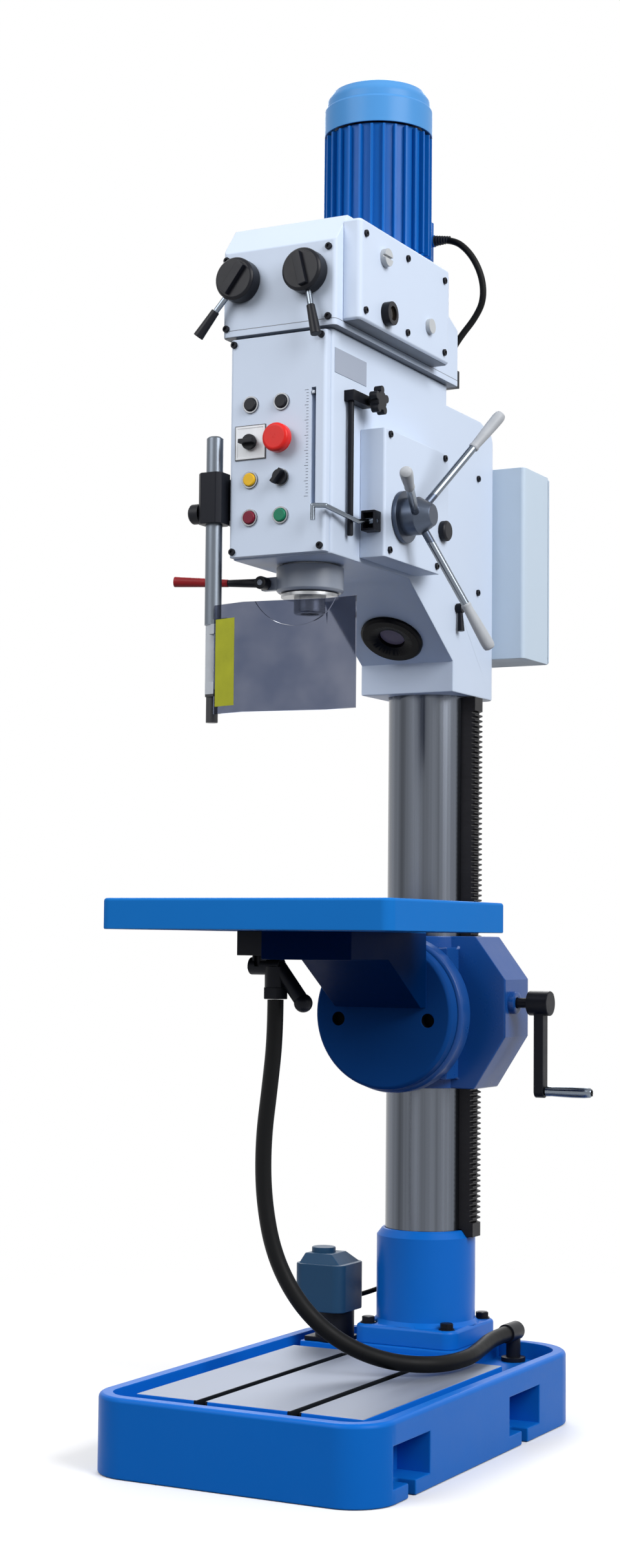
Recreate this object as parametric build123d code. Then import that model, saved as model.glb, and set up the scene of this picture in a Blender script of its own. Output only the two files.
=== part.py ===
from build123d import *
import math
import os

# Geared pillar drill. Millimetres, X to the operator's right, -Y to the front, Z up.
# The origin lies on the floor under the column axis.

# Base casting
base_w = 526.0
base_front = 738.0
base_rear = 110.0
base_h = 127.0
base_front_r = 75.0
base_rear_r = 100.0
base_rim = 24.0
gutter_depth = 30.0
face_drop = 6.0
face_w = 414.0
face_front_margin = 76.0
face_rear_y = -125.0
base_floor_t = 25.0
base_wall = 24.0
rib_t = 20.0
sump_floor = 20.0
anchor_w = 130.0
anchor_h = 64.0
anchor_ledge = 24.0
anchor_depth = 58.0
anchor_slot_w = 24.0
anchor_slot_len = 40.0
anchor_from_front = 132.0
anchor_from_rear = 268.0
tslot_neck = 14.0
tslot_head = 24.0
tslot_neck_h = 12.0
tslot_head_h = 12.0
base_tslot_x = 85.0

# Column, foot and rack
col_r = 75.0
col_wall = 14.0
foot_pad = 216.0
foot_pad_rise = 5.0
foot_flange = 200.0
foot_flange_t = 33.0
foot_flange_r = 25.0
foot_r = 90.0
foot_tube_h = 156.0
foot_taper_h = 13.0
foot_top_r = 80.0
foot_bolt_pitch = 156.0
rack_w = 34.0
rack_pitch_x = 98.0
rack_module = 3.0
rack_end_gap = 2.0

# Head casting
throat = 476.0
head_w = 186.0
head_bottom = 1484.0
head_top = 1857.0
head_nose = 104.0
head_rear = 92.0
shoulder_y = -131.0
shoulder_drop = 35.0
clamp_bottom = 1305.0
clamp_h = 55.0
clamp_front = -98.0
slope_top_y = -284.0
guide_top = 1640.0
head_wall = 15.0
lamp_r = 57.0
lamp_lens_r = 24.0
lamp_along = 0.33

# Control panel
panel_w = 180.0
panel_t = 16.0
panel_skin = 6.0
panel_gap = 5.0
button_r = 11.0
bezel_r = 14.5
stop_r = 24.0
left_row_x = -50.0
right_row_x = 8.0
row_from_top = 118.0
row_pitch = 63.0
scale_x = 67.0
scale_w = 8.0

# Quill, spindle and feed
quill_r = 47.0
quill_len = 360.0
quill_travel = 175.0
collar_r = 57.0
collar_h = 43.0
collar_gap = 4.0
spindle_r = 30.0
spindle_nose_r = 27.0
spindle_nose_len = 35.0
spline_r = 17.0
taper_big_r = 15.63
taper_small_r = 12.8
taper_len = 109.0
feed_module = 3.0
feed_teeth = 16
feed_shaft_r = 14.0
feed_z_up = 83.0
hub_r = 38.0
hub_x = 166.0
arm_len = 257.0
arm_r = 7.0
grip_r = 11.0
grip_len = 88.0
arm_rake = 21.5
arm_turn = 54.1

# Feed gear case on the right of the head
case_x = 140.0
case_front = 1.0
case_len = 255.0
case_bottom_up = 7.0
case_h = 217.0
case_wall = 8.0

# Gearbox and motor
gearbox_w = 214.0
gearbox_overhang = 16.0
gearbox_rear = 115.0
gearbox_face_h = 143.0
gearbox_h = 193.0
gearbox_bevel = 40.0
gearbox_wall = 11.0
cover_t = 33.0
cover_set_back = 24.0
cover_rear_gap = 107.0
cover_low = 11.0
cover_high = 181.0
gear_module = 4.0
gear_pairs = ((14, 27), (16, 25), (14, 27))
gear_face = 24.0
gear_backlash = 0.5
lay_r = 10.0
motor_r = 97.0
motor_core_r = 88.0
motor_flange_t = 14.0
motor_body_h = 232.0
cowl_h = 84.0
fin_count = 28
fin_t = 5.0

# Shift levers on the gearbox front
shift_r = 36.0
shift_t = 28.0
shift_x = (-70.0, 56.0)
shift_angle = (-37.5, 14.0)
shift_up = 91.0
shift_len = 114.0

# Table, bracket and crank
table_w = 530.0
table_d = 450.0
table_top = 921.0
table_t = 51.0
table_skin = 28.0
table_rim = 20.0
table_arm_w = 170.0
table_arm_h = 48.0
table_arm_front = -480.0
table_web_front = -340.0
table_web_low = 738.0
table_web_foot = 20.0
table_tslot_x = 90.0
tilt_z = 726.0
tilt_disc_r = 134.0
back_disc_r = 141.0
tilt_face_y = -188.0
disc_t = 28.0
disc_gap = 2.0
disc_chamfer = 5.0
back_disc_t = 38.0
pivot_r = 25.0
sleeve_r = 108.0
bracket_low = 592.0
bracket_high = 865.0
neck_w = 190.0
case_right = 186.0
gear_case_y0 = -72.0
gear_case_y1 = 36.0
elevate_z = 747.0
elevate_teeth = 14
bevel_module = 3.0
bevel_small = 12
bevel_large = 24
bevel_face = 12.0
crank_y = -42.0
crank_hub_x = 221.0
crank_arm = 155.0
crank_grip_len = 88.0
shaft_r = 9.0

# Drain, hose and pump
hose_r = 14.0
hose_bore_r = 10.0
drain_x = -100.0
drain_y = -400.0
pump_x = -178.0
pump_y = -40.0
pump_w = 100.0

# Guard
guard_out = 23.0
guard_reach = 20.0
guard_rod_r = 14.0
guard_top = 1690.0
guard_low = 1212.0
screen_t = 4.0
screen_front = 20.0
screen_low = 1224.0
screen_high = 1404.0
wing_w = 65.0
wing_out = 18.0
pane_w = 144.0
pane_back = 20.0
lip_w = 57.0
lip_out = 11.0

# Electrical cabinet
cab_w = 300.0
cab_y0 = 95.0
cab_d = 125.0
cab_z0 = 1385.0
cab_h = 361.0
cab_wall = 3.0

# Clearances
fit_gap = 0.05
run_gap = 0.06
free_gap = 0.4
rub_gap = 0.5

os.makedirs("parts", exist_ok=True)


def save(name, shape):
    export_step(shape, f"parts/{name}.step")


def block(x0, x1, y0, y1, z0, z1):
    size = Box(x1 - x0, y1 - y0, z1 - z0)
    return Pos((x0 + x1) / 2, (y0 + y1) / 2, (z0 + z1) / 2) * size


def rod_z(x, y, z0, z1, r):
    return Pos(x, y, (z0 + z1) / 2) * Cylinder(r, z1 - z0)


def rod_x(x0, x1, y, z, r):
    return Pos((x0 + x1) / 2, y, z) * Rot(0, 90, 0) * Cylinder(r, x1 - x0)


def rod_y(x, y0, y1, z, r):
    return Pos(x, (y0 + y1) / 2, z) * Rot(90, 0, 0) * Cylinder(r, y1 - y0)


def stick(a, b, r, r_end=None):
    way = Vector(*b) - Vector(*a)
    low = (Align.CENTER, Align.CENTER, Align.MIN)
    body = Cylinder(r, way.length, align=low) if r_end is None else Cone(r, r_end, way.length, align=low)
    return Plane(origin=a, z_dir=way) * body


def prism_x(pts, x0, x1):
    face = Plane(origin=(x0, 0, 0), x_dir=(0, 1, 0), z_dir=(1, 0, 0)) * make_face(Polyline(*pts, close=True))
    return extrude(face, x1 - x0)


def prism_y(pts, y0, y1):
    face = Plane(origin=(0, y1, 0), x_dir=(1, 0, 0), z_dir=(0, -1, 0)) * make_face(Polyline(*pts, close=True))
    return extrude(face, y1 - y0)


def prism_z(pts, z0, z1):
    face = make_face(Polyline(*pts, close=True))
    return Pos(0, 0, z0) * extrude(face, z1 - z0)


def slab(w, d, r, x, y, z0, z1):
    return Pos(x, y, z0) * extrude(RectangleRounded(w, d, r), z1 - z0)


# Plate with one corner radius at the front and another at the rear
def pan(w, y0, y1, front_r, rear_r, z0, z1):
    plate = block(-w / 2, w / 2, y0, y1, z0, z1)
    plate = fillet(plate.edges().filter_by(Axis.Z).sort_by(Axis.Y)[:2], front_r)
    return fillet(plate.edges().filter_by(Axis.Z).sort_by(Axis.Y)[-2:], rear_r)


def tslot_y(x, y0, y1, top):
    neck = block(x - tslot_neck / 2, x + tslot_neck / 2, y0, y1, top - tslot_neck_h - 1, top + 1)
    low = top - tslot_neck_h - tslot_head_h
    return neck + block(x - tslot_head / 2, x + tslot_head / 2, y0, y1, low, top - tslot_neck_h)


def involute(angle):
    return math.tan(angle) - angle


# Gear outline with flanks from three involute points; a tooth or a gap is centred on the given angle
def gear_face_2d(module, teeth, centre_deg, gap=False, backlash=gear_backlash, tall=0.9):
    pitch_r = module * teeth / 2
    base_r = pitch_r * math.cos(math.radians(20))
    tip_r = pitch_r + tall * module
    root_r = pitch_r - 1.25 * module
    start_r = max(base_r, root_r + 0.1)
    half = (math.pi * module / 2 - backlash) / 2 / pitch_r
    zero = half + involute(math.radians(20))
    flank = []
    for r in (start_r, (start_r + tip_r) / 2, tip_r):
        flank.append((r, zero - involute(math.acos(min(1.0, base_r / r)))))
    step = 2 * math.pi / teeth
    first = math.radians(centre_deg) + (step / 2 if gap else 0)
    pts = []
    for k in range(teeth):
        mid = first + k * step
        edge = [(root_r, -flank[0][1])] + [(r, -a) for r, a in flank]
        edge = edge + [(r, a) for r, a in reversed(flank)] + [(root_r, flank[0][1])]
        for r, a in edge:
            pts.append((r * math.cos(mid + a), r * math.sin(mid + a)))
    return make_face(Polyline(*pts, close=True))


def gear_z(module, teeth, x, y, z0, z1, centre_deg, gap=False):
    return Pos(x, y, z0) * extrude(gear_face_2d(module, teeth, centre_deg, gap), z1 - z0)


# Rack comb: the material between the teeth, as a list of points running along the rack
def rack_gaps(module, z_mid, z_low, z_high, pitch_at, root_at, open_at):
    pitch = math.pi * module
    lean = math.tan(math.radians(20))
    out = abs(open_at - pitch_at)
    deep = abs(root_at - pitch_at)
    half = pitch / 4 + gear_backlash / 4
    gaps = []
    first = math.ceil((z_low - z_mid) / pitch)
    last = math.floor((z_high - z_mid) / pitch)
    for k in range(first, last + 1):
        z = z_mid + k * pitch
        wide = half + out * lean
        thin = half - deep * lean
        gaps.append(((open_at, z - wide), (root_at, z - thin), (root_at, z + thin), (open_at, z + wide)))
    return gaps


# Bend radii for a cord laid through points: nine tenths of the shorter run at each bend is used by the arc
def bend_radii(pts):
    radii = []
    for a, b, c in zip(pts, pts[1:], pts[2:]):
        u = Vector(*b) - Vector(*a)
        v = Vector(*c) - Vector(*b)
        turn = math.radians(u.get_angle(v))
        radii.append(0.45 * min(u.length, v.length) / math.tan(turn / 2))
    return radii


def cord(name, pts, r, bore=0.0):
    radii = bend_radii(pts)
    path = FilletPolyline(*pts, radius=radii)
    start = Plane(origin=path @ 0, z_dir=path % 0)
    ring = Circle(r) - Circle(bore) if bore else Circle(r)
    tube = sweep(start * ring, path=path)
    wanted = math.pi * (r * r - bore * bore) * path.length
    fill = round(tube.volume / wanted, 4)
    print(name, "length", round(path.length, 1), "radii", [round(x) for x in radii], fill)
    return tube


# Base casting with gutter, T-slots, anchor pockets and coolant sump
half_base = base_w / 2
gutter_z = base_h - gutter_depth
face_z = base_h - face_drop
foot_z = base_h + foot_pad_rise
face_front_y = -base_front + face_front_margin
half_face = face_w / 2
half_pad = foot_pad / 2
anchor_ys = (-base_front + anchor_from_front, base_rear - anchor_from_rear)
pocket_wall = 14.0
pump_half = pump_w / 2
base = pan(base_w, -base_front, base_rear, base_front_r, base_rear_r, 0, base_h)
base = chamfer(base.faces().sort_by(Axis.Z)[-1].edges(), 5)
gutter_wide = base_w - 2 * base_rim
gutter_front = -base_front + base_rim
gutter_rear = base_rear - base_rim
front_r = base_front_r - base_rim
rear_r = base_rear_r - base_rim
base = base - pan(gutter_wide, gutter_front, gutter_rear, front_r, rear_r, gutter_z, base_h + 1)
base = base + block(-half_face, half_face, face_front_y, face_rear_y, gutter_z - 1, face_z)
base = base + block(-half_pad, half_pad, -half_pad, gutter_rear, gutter_z - 1, foot_z)
base = base + block(-half_pad, half_pad, face_rear_y - 1, -half_pad, gutter_z - 1, face_z)
pump_pad_x = pump_half - 8
pump_pad_y = pump_half - 14
pump_pad = block(
    pump_x - pump_pad_x, pump_x + pump_pad_x, pump_y - pump_pad_y, pump_y + pump_pad_y, gutter_z - 1, face_z
)
base = base + pump_pad
for x in (-base_tslot_x, base_tslot_x):
    base = base - tslot_y(x, face_front_y - 1, face_rear_y - 30, face_z)
hollow_top = gutter_z - base_floor_t
front_low = -base_front + base_wall
front_high = anchor_ys[1] - anchor_w / 2 - pocket_wall - rib_t
hollow_mid = (front_low + front_high) / 2
hollow = slab(base_w - 2 * base_wall, front_high - front_low, 60, 0, hollow_mid, -1, hollow_top)
hollow = hollow - block(-rib_t / 2, rib_t / 2, front_low, front_high, -1, hollow_top)
rib_y = (anchor_ys[0] + anchor_w / 2 + front_high) / 2
hollow = hollow - block(-half_base, half_base, rib_y - rib_t / 2, rib_y + rib_t / 2, -1, hollow_top)
pocket_in = half_base - anchor_depth
for side in (-1, 1):
    for y in anchor_ys:
        x0, x1 = sorted((side * (pocket_in - pocket_wall), side * (half_base + 1)))
        reach = anchor_w / 2 + pocket_wall
        hollow = hollow - block(x0, x1, y - reach, y + reach, -1, hollow_top)
base = base - hollow
sump_half = pocket_in - pocket_wall - 4
sump = block(-sump_half, sump_half, front_high + rib_t, base_rear - base_wall, sump_floor, hollow_top)
sump = sump - rod_z(0, 0, 0, gutter_z, col_r + 5)
base = base - sump
for side in (-1, 1):
    for y in anchor_ys:
        x0, x1 = sorted((side * pocket_in, side * (half_base + 1)))
        base = base - block(x0, x1, y - anchor_w / 2, y + anchor_w / 2, anchor_ledge, anchor_ledge + anchor_h)
        tip = half_base - anchor_slot_len + anchor_slot_w / 2
        x0, x1 = sorted((side * tip, side * (half_base + 1)))
        half_slot = anchor_slot_w / 2
        base = base - block(x0, x1, y - half_slot, y + half_slot, -1, anchor_ledge + 1)
        base = base - rod_z(side * tip, y, -1, anchor_ledge + 1, half_slot)
pump_hole_r = 26.0
hose_in_x = 150.0
hose_in_y = 56.0
hose_in_r = 13.0
base = base - rod_z(pump_x + 12, pump_y, hollow_top - 1, face_z + 1, pump_hole_r)
base = base - rod_z(hose_in_x, hose_in_y, hollow_top - 1, gutter_z + 1, hose_in_r + fit_gap)
save("base_casting", base)

# Column foot with square flange and socket
flange_top = foot_z + foot_flange_t
tube_top = flange_top + foot_tube_h
foot_top = tube_top + foot_taper_h
col_low = foot_z + 8
foot = slab(foot_flange, foot_flange, foot_flange_r, 0, 0, foot_z, flange_top)
foot = chamfer(foot.faces().sort_by(Axis.Z)[-1].edges(), 4)
foot = foot + rod_z(0, 0, flange_top - 1, tube_top, foot_r)
foot = foot + Pos(0, 0, tube_top + foot_taper_h / 2) * Cone(foot_r, foot_top_r, foot_taper_h)
root_r = foot_r + 8
foot = foot + Pos(0, 0, flange_top + 4) * Cone(root_r, foot_r, 8)
foot = foot - rod_z(0, 0, col_low, foot_top + 1, col_r + fit_gap)
half_pitch = foot_bolt_pitch / 2
bolt_spots = [(x, y) for x in (-half_pitch, half_pitch) for y in (-half_pitch, half_pitch)]
for x, y in bolt_spots:
    foot = foot - rod_z(x, y, flange_top, foot_top, 16)
gland_y = 70.0
gland_z = 210.0
gland_r = 7.0
gland_in = -47.0
foot = foot - rod_x(-foot_r - 5, gland_in - 1, gland_y, gland_z, gland_r + fit_gap)
save("column_foot", foot)

col_top = head_top - shoulder_drop - 42
column = rod_z(0, 0, col_low, col_top, col_r) - rod_z(0, 0, col_low - 1, col_top + 1, col_r - col_wall)
save("column_tube", column)

# Rack that turns about the column, its back hollowed to the column and its foot relieved over the taper
rack_low = tube_top + rack_end_gap
rack_high = clamp_bottom - rack_end_gap
rack_tip = rack_pitch_x + 0.9 * rack_module
rack_root = rack_pitch_x - 1.25 * rack_module
half_rack = rack_w / 2
rack = block(col_r - 10, rack_tip, -half_rack, half_rack, rack_low, rack_high)
rack = rack - rod_z(0, 0, rack_low - 1, rack_high + 1, col_r + run_gap)
rack = rack - Pos(0, 0, rack_low + foot_taper_h / 2) * Cone(foot_r, foot_top_r, foot_taper_h)
comb_low = rack_low + 20
comb_high = rack_high - 20
for gap in rack_gaps(rack_module, elevate_z, comb_low, comb_high, rack_pitch_x, rack_root, rack_tip + 1):
    rack = rack - prism_y(gap, -half_rack - 1, half_rack + 1)
save("column_rack", rack)

# Head casting: front spindle box, sloped underside and column clamp
spindle_y = -throat
head_front = spindle_y - head_nose
half_head = head_w / 2
shoulder_z = head_top - shoulder_drop
clamp_z = clamp_bottom + clamp_h
head_side = [
    (head_front, head_bottom), (head_front, head_top), (shoulder_y, head_top), (shoulder_y, shoulder_z),
    (head_rear - 72, shoulder_z), (head_rear - 22, shoulder_z - 14), (head_rear, shoulder_z - 47),
    (head_rear, clamp_bottom), (clamp_front, clamp_bottom), (clamp_front, clamp_z),
    (slope_top_y, head_bottom),
]
head = prism_x(head_side, -half_head, half_head)
uprights = head.edges().filter_by(Axis.Z)
head = fillet(uprights.filter_by(lambda e: e.center().Y > head_rear - 1), 20)
uprights = head.edges().filter_by(Axis.Z)
head = fillet(uprights.filter_by(lambda e: e.center().Y < head_front + 1), 8)
feed_r = feed_module * feed_teeth / 2
feed_y = spindle_y + quill_r - 5 + feed_r
feed_z = head_bottom + feed_z_up
head = head - rod_z(0, 0, clamp_bottom - 1, col_top + 5, col_r + fit_gap)
slit_t = 6.0
head = head - block(-slit_t / 2, slit_t / 2, col_r - 1, head_rear + 1, clamp_bottom - 1, clamp_z + 110)
head = head - rod_z(0, spindle_y, head_bottom - 1, guide_top + 1, quill_r + run_gap)
bay = half_head - head_wall
bay_top = head_top - 14
head = head - block(-bay, bay, head_front + 18, feed_y + 25, guide_top, bay_top)
head = head - block(-bay, bay, feed_y + 38, shoulder_y - 14, head_bottom + 21, bay_top)
head = head - rod_y(0, feed_y + 20, feed_y + 42, guide_top + 80, 30)
head = head - rod_z(0, spindle_y, bay_top - 1, head_top + 1, 40)
pinion_half = 18.0
head = head - rod_x(-pinion_half - 2, pinion_half + 2, feed_y, feed_z, feed_r + feed_module + 1.5)
head = head - rod_x(-half_head - 1, half_head + 1, feed_y, feed_z, feed_shaft_r + run_gap)
scale_top = head_top - 100
pointer_drop = 8.0
scale_low = scale_top - quill_travel - 2 * pointer_drop
pointer_low = scale_low - pointer_drop
head = head - block(scale_x - 31, scale_x + 9, head_front + 14, spindle_y + 6, pointer_low, bay_top)
scale_x0 = scale_x - scale_w / 2
scale_x1 = scale_x + scale_w / 2
head = head - block(scale_x0, scale_x1, head_front - 1, head_front + 15, scale_low, scale_top)
slope_dy = clamp_front - slope_top_y
slope_dz = clamp_z - head_bottom
slope_len = math.hypot(slope_dy, slope_dz)
lamp_out = (0, slope_dz / slope_len, -slope_dy / slope_len)
lamp_y = clamp_front - lamp_along * slope_dy
lamp_z = clamp_z - lamp_along * slope_dz
lamp_plane = Plane(origin=(0, lamp_y, lamp_z), x_dir=(1, 0, 0), z_dir=lamp_out)
lamp_deep = 24.0
low_end = (Align.CENTER, Align.CENTER, Align.MIN)
high_end = (Align.CENTER, Align.CENTER, Align.MAX)
head = head - lamp_plane * Cylinder(lamp_lens_r + 6 + free_gap, lamp_deep, align=high_end)
tap_z = clamp_z + 98
tap_y = -84.0
tap_r = 6.0
head = head - rod_x(half_head - 14, half_head + 1, tap_y, tap_z, tap_r + run_gap)
save("head_casting", head)

# Work lamp: bezel with lens can and lens
lamp = lamp_plane * Cylinder(lamp_r, 10, align=low_end)
lamp = chamfer(lamp.edges().filter_by(GeomType.CIRCLE).sort_by(Axis.Z)[0], 4)
lamp = lamp + lamp_plane * Cylinder(lamp_lens_r + 6, lamp_deep - 2, align=high_end)
lamp = lamp - lamp_plane * Pos(0, 0, -lamp_deep + 6) * Cylinder(lamp_lens_r, lamp_deep + 10, align=low_end)
lamp_lip = lamp_plane * Pos(0, 0, 4) * Cone(lamp_lens_r, lamp_lens_r + 20, 7, align=low_end)
lamp = lamp - lamp_lip
lens_deep = 6.0
lens_len = lamp_deep - lens_deep - 3
lens = Cylinder(lamp_lens_r - free_gap, lens_len, align=low_end)
lens = lamp_plane * Pos(0, 0, -lamp_deep + lens_deep + 0.2) * lens
save("work_lamp", Compound([lamp, lens]))

# Gearbox housing with bevelled front top edge and low lobes on its cut rear corners
gearbox_front = -head_front + gearbox_overhang
cover_front = gearbox_front - cover_set_back
cover_rear = gearbox_rear + cover_rear_gap
gear_low = head_top
face_top = gear_low + gearbox_face_h
gear_top = gear_low + gearbox_h
half_gear = gearbox_w / 2
gear_side = [
    (-gearbox_front, gear_low), (-gearbox_front, face_top), (-gearbox_front + gearbox_bevel, gear_top),
    (-gearbox_rear, gear_top), (-gearbox_rear, gear_low),
]
gearbox = prism_x(gear_side, -half_gear, half_gear)
back_edges = gearbox.edges().filter_by(Axis.Z).filter_by(lambda e: e.center().Y > -gearbox_rear - 1)
corner_cut = 40.0
gearbox = chamfer(back_edges, corner_cut)
lobe_front_h = 123.0
lobe_rear_h = 103.0
lobe_y = -gearbox_rear - corner_cut - 5
lobe_side = [
    (lobe_y, gear_low), (lobe_y, gear_low + lobe_front_h), (-gearbox_rear, gear_low + lobe_rear_h),
    (-gearbox_rear, gear_low),
]
for x0 in (-half_gear, half_gear - corner_cut - 1):
    gearbox = gearbox + prism_x(lobe_side, x0, x0 + corner_cut + 1)
front_edges = gearbox.edges().filter_by(Axis.Z).filter_by(lambda e: e.center().Y < -gearbox_front + 1)
gearbox = fillet(front_edges, 8)
wall = gearbox_wall
bay_side = [
    (-gearbox_front + wall, gear_low + wall), (-gearbox_front + wall, face_top - 5),
    (-gearbox_front + gearbox_bevel + 5, gear_top - wall), (-gearbox_rear - wall - 30, gear_top - wall),
    (-gearbox_rear - wall - 30, gear_low + wall),
]
gearbox = gearbox - prism_x(bay_side, -half_gear + wall, half_gear - wall)
spacing = gear_module * (gear_pairs[0][0] + gear_pairs[0][1]) / 2
lay_b_y = spindle_y + spacing
lay_a_y = spindle_y + 2 * spacing
motor_y = spindle_y + 3 * spacing
sleeve_hole_r = 40.0
gearbox = gearbox - rod_z(0, spindle_y, gear_low - 1, gear_low + wall + 1, sleeve_hole_r)
pilot_r = 45.0
gearbox = gearbox - rod_z(0, motor_y, gear_top - wall - 1, gear_top + 1, pilot_r)
for y in (lay_a_y, lay_b_y):
    gearbox = gearbox - rod_z(0, y, gear_low + 3, gear_top - 3, lay_r + run_gap)
cover_z0 = gear_low + cover_low
cover_z1 = gear_low + cover_high
window = block(
    half_gear - wall - 1, half_gear + 1, -cover_front + 32, -cover_rear - 12, cover_z0 + 22, cover_z1 - 22
)
gearbox = gearbox - window
shift_z = gear_low + shift_up
shift_shaft_r = 9.0
front_skin = -gearbox_front + wall + 1
for x in shift_x:
    gearbox = gearbox - rod_y(x, -gearbox_front - 1, front_skin, shift_z, shift_shaft_r + run_gap)
save("gearbox_housing", gearbox)

# Side cover: a shallow box over the gearbox window
cover_x = half_gear + cover_t
cover = block(half_gear, cover_x, -cover_front, -cover_rear, cover_z0, cover_z1)
cover = fillet(cover.edges().filter_by(Axis.Z).filter_by(lambda e: e.center().X > cover_x - 1), 10)
cover = chamfer(cover.faces().sort_by(Axis.X)[-1].edges().filter_by(Axis.Y), 4)
cover_wall = 10.0
cover = cover - block(
    half_gear - 1, cover_x - 8, -cover_front + cover_wall, -cover_rear - cover_wall,
    cover_z0 + cover_wall, cover_z1 - cover_wall,
)
sight_y = spindle_y - 2
sight_z = gear_low + 41
fill_y = spindle_y - 11
fill_z = gear_low + 134
plug_y = spindle_y + 165
plug_z = gear_low + 60
oil_spots = ((sight_y, sight_z, 13.0), (fill_y, fill_z, 9.0), (plug_y, plug_z, 8.0))
for y, z, r in oil_spots:
    cover = cover - rod_x(cover_x - 9, cover_x + 1, y, z, r + fit_gap)
save("gearbox_side_cover", cover)

# Oil sight glass, filler and level plugs


def oil_plug(y, z, r, head_r, head_t):
    return rod_x(cover_x - 8, cover_x + 3, y, z, r) + rod_x(cover_x, cover_x + head_t, y, z, head_r)


sight_t = 14.0
sight = oil_plug(*oil_spots[0], 20, sight_t)
sight = sight - rod_x(cover_x + sight_t - 4, cover_x + sight_t + 1, sight_y, sight_z, 12)
filler = oil_plug(*oil_spots[1], 15, 10)
filler = filler - block(cover_x + 6, cover_x + 11, fill_y - 16, fill_y + 16, fill_z - 2, fill_z + 2)
save("oil_fittings", Compound([sight, filler, oil_plug(*oil_spots[2], 13, 8)]))

# Control panel: a shallow front box with bored skin and the depth scale slot
panel_y = head_front - panel_t
half_panel = panel_w / 2
panel_low = head_bottom + 2
panel_high = head_top - panel_gap
panel = block(-half_panel, half_panel, panel_y, head_front, panel_low, panel_high)
panel = fillet(panel.edges().filter_by(Axis.Z).filter_by(lambda e: e.center().Y < panel_y + 1), 6)
panel = panel - block(
    -half_panel + 10, scale_x - 9, panel_y + panel_skin, head_front + 1, panel_low + 14, panel_high - 12
)
rows = [head_top - row_from_top - k * row_pitch for k in range(4)]
round_spots = [(x, z) for z in rows for x in (left_row_x, right_row_x)]
for x, z in round_spots:
    panel = panel - rod_y(x, panel_y - 1, head_front + 1, z, button_r + free_gap)
panel = panel - block(scale_x0, scale_x1, panel_y - 1, head_front + 1, scale_low, scale_top)
save("control_panel", panel)

# Bezels round the controls and the square plate of the main selector
bezel_t = 3.0
plate_half = 29.0
bezels = []
for k, (x, z) in enumerate(round_spots):
    if k == 2:
        ring = block(x - plate_half, x + plate_half, panel_y - 2, panel_y, z - plate_half, z + plate_half)
        inner = block(x - 24, x + 24, panel_y - 3, panel_y - 1.2, z - 24, z + 24)
        ring = ring - inner
    else:
        ring = rod_y(x, panel_y - bezel_t, panel_y, z, bezel_r)
    bezels.append(ring - rod_y(x, panel_y - 10, panel_y + 1, z, button_r + free_gap))
save("control_bezels", Compound(bezels))


def push_button(x, z, proud):
    cap = rod_y(x, panel_y - proud, panel_y + 6, z, button_r)
    cap = chamfer(cap.edges().filter_by(GeomType.CIRCLE).sort_by(Axis.Y)[0], 1.5)
    return cap + rod_y(x, panel_y + 5, head_front - 6, z, 6)


def selector(x, z, turn):
    knob = rod_y(x, panel_y - 9, panel_y + 4, z, button_r)
    knob = knob + rod_y(x, panel_y - 9, panel_y - 4, z, button_r + 2)
    bar = Pos(x, panel_y - 14, z) * Rot(0, turn, 0) * Box(7, 13, 27)
    return knob + bar + rod_y(x, panel_y + 3, head_front - 6, z, 6)


def mushroom(x, z):
    head_cap = rod_y(x, panel_y - 26, panel_y - 10, z, stop_r)
    head_cap = fillet(head_cap.edges().filter_by(GeomType.CIRCLE).sort_by(Axis.Y)[0], 6)
    return head_cap + rod_y(x, panel_y - 11, head_front - 8, z, button_r - 1)


save("button_jog_left", push_button(left_row_x, rows[0], 7))
save("button_jog_right", push_button(right_row_x, rows[0], 7))
save("selector_main", selector(left_row_x, rows[1], 90))
save("stop_mushroom", mushroom(right_row_x, rows[1]))
save("button_coolant", push_button(left_row_x, rows[2], 7))
save("selector_mode", selector(right_row_x, rows[2], 40))
save("button_off", push_button(left_row_x, rows[3], 7))
save("button_on", push_button(right_row_x, rows[3], 7))

# Quill with feed rack, depth collar and scale pointer
quill_low = head_bottom - collar_gap - collar_h
quill_top = quill_low + quill_len
quill = rod_z(0, spindle_y, quill_low, quill_top, quill_r)
rack_line = feed_y - feed_r
open_line = rack_line + 0.9 * feed_module
deep_line = rack_line - 1.25 * feed_module
feed_low = feed_z - 34
feed_high = feed_z + quill_travel + 34
quill = quill - block(-quill_r, quill_r, open_line, feed_y, feed_low, feed_high)
for gap in rack_gaps(feed_module, feed_z, feed_low + 4, feed_high - 4, rack_line, deep_line, open_line + 1):
    quill = quill - prism_x(gap, -quill_r, quill_r)
quill = quill + rod_z(0, spindle_y, quill_low, quill_low + collar_h, collar_r)
quill = chamfer(quill.edges().filter_by(GeomType.CIRCLE).sort_by(Axis.Z)[0], 4)
pointer_z = scale_top - pointer_drop
quill = quill + block(30, scale_x + 3, spindle_y - 7, spindle_y, pointer_z - 4, pointer_z + 4)
quill = quill + block(scale_x - 3, scale_x + 3, panel_y - 1, spindle_y, pointer_z - 3, pointer_z + 3)
lever_x = -collar_r - 10
lever_z = quill_low + 16
lever_y = spindle_y - 44
pin_r = 5.0
quill = quill + block(lever_x - 9, -20, lever_y + 11, lever_y + 24, lever_z - 11, lever_z + 11)
quill = quill + rod_y(lever_x, lever_y - 11, lever_y + 12, lever_z, pin_r)
quill = quill - rod_z(0, spindle_y, quill_low - 1, quill_top + 1, spindle_r + run_gap)
save("quill_sleeve", quill)

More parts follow.
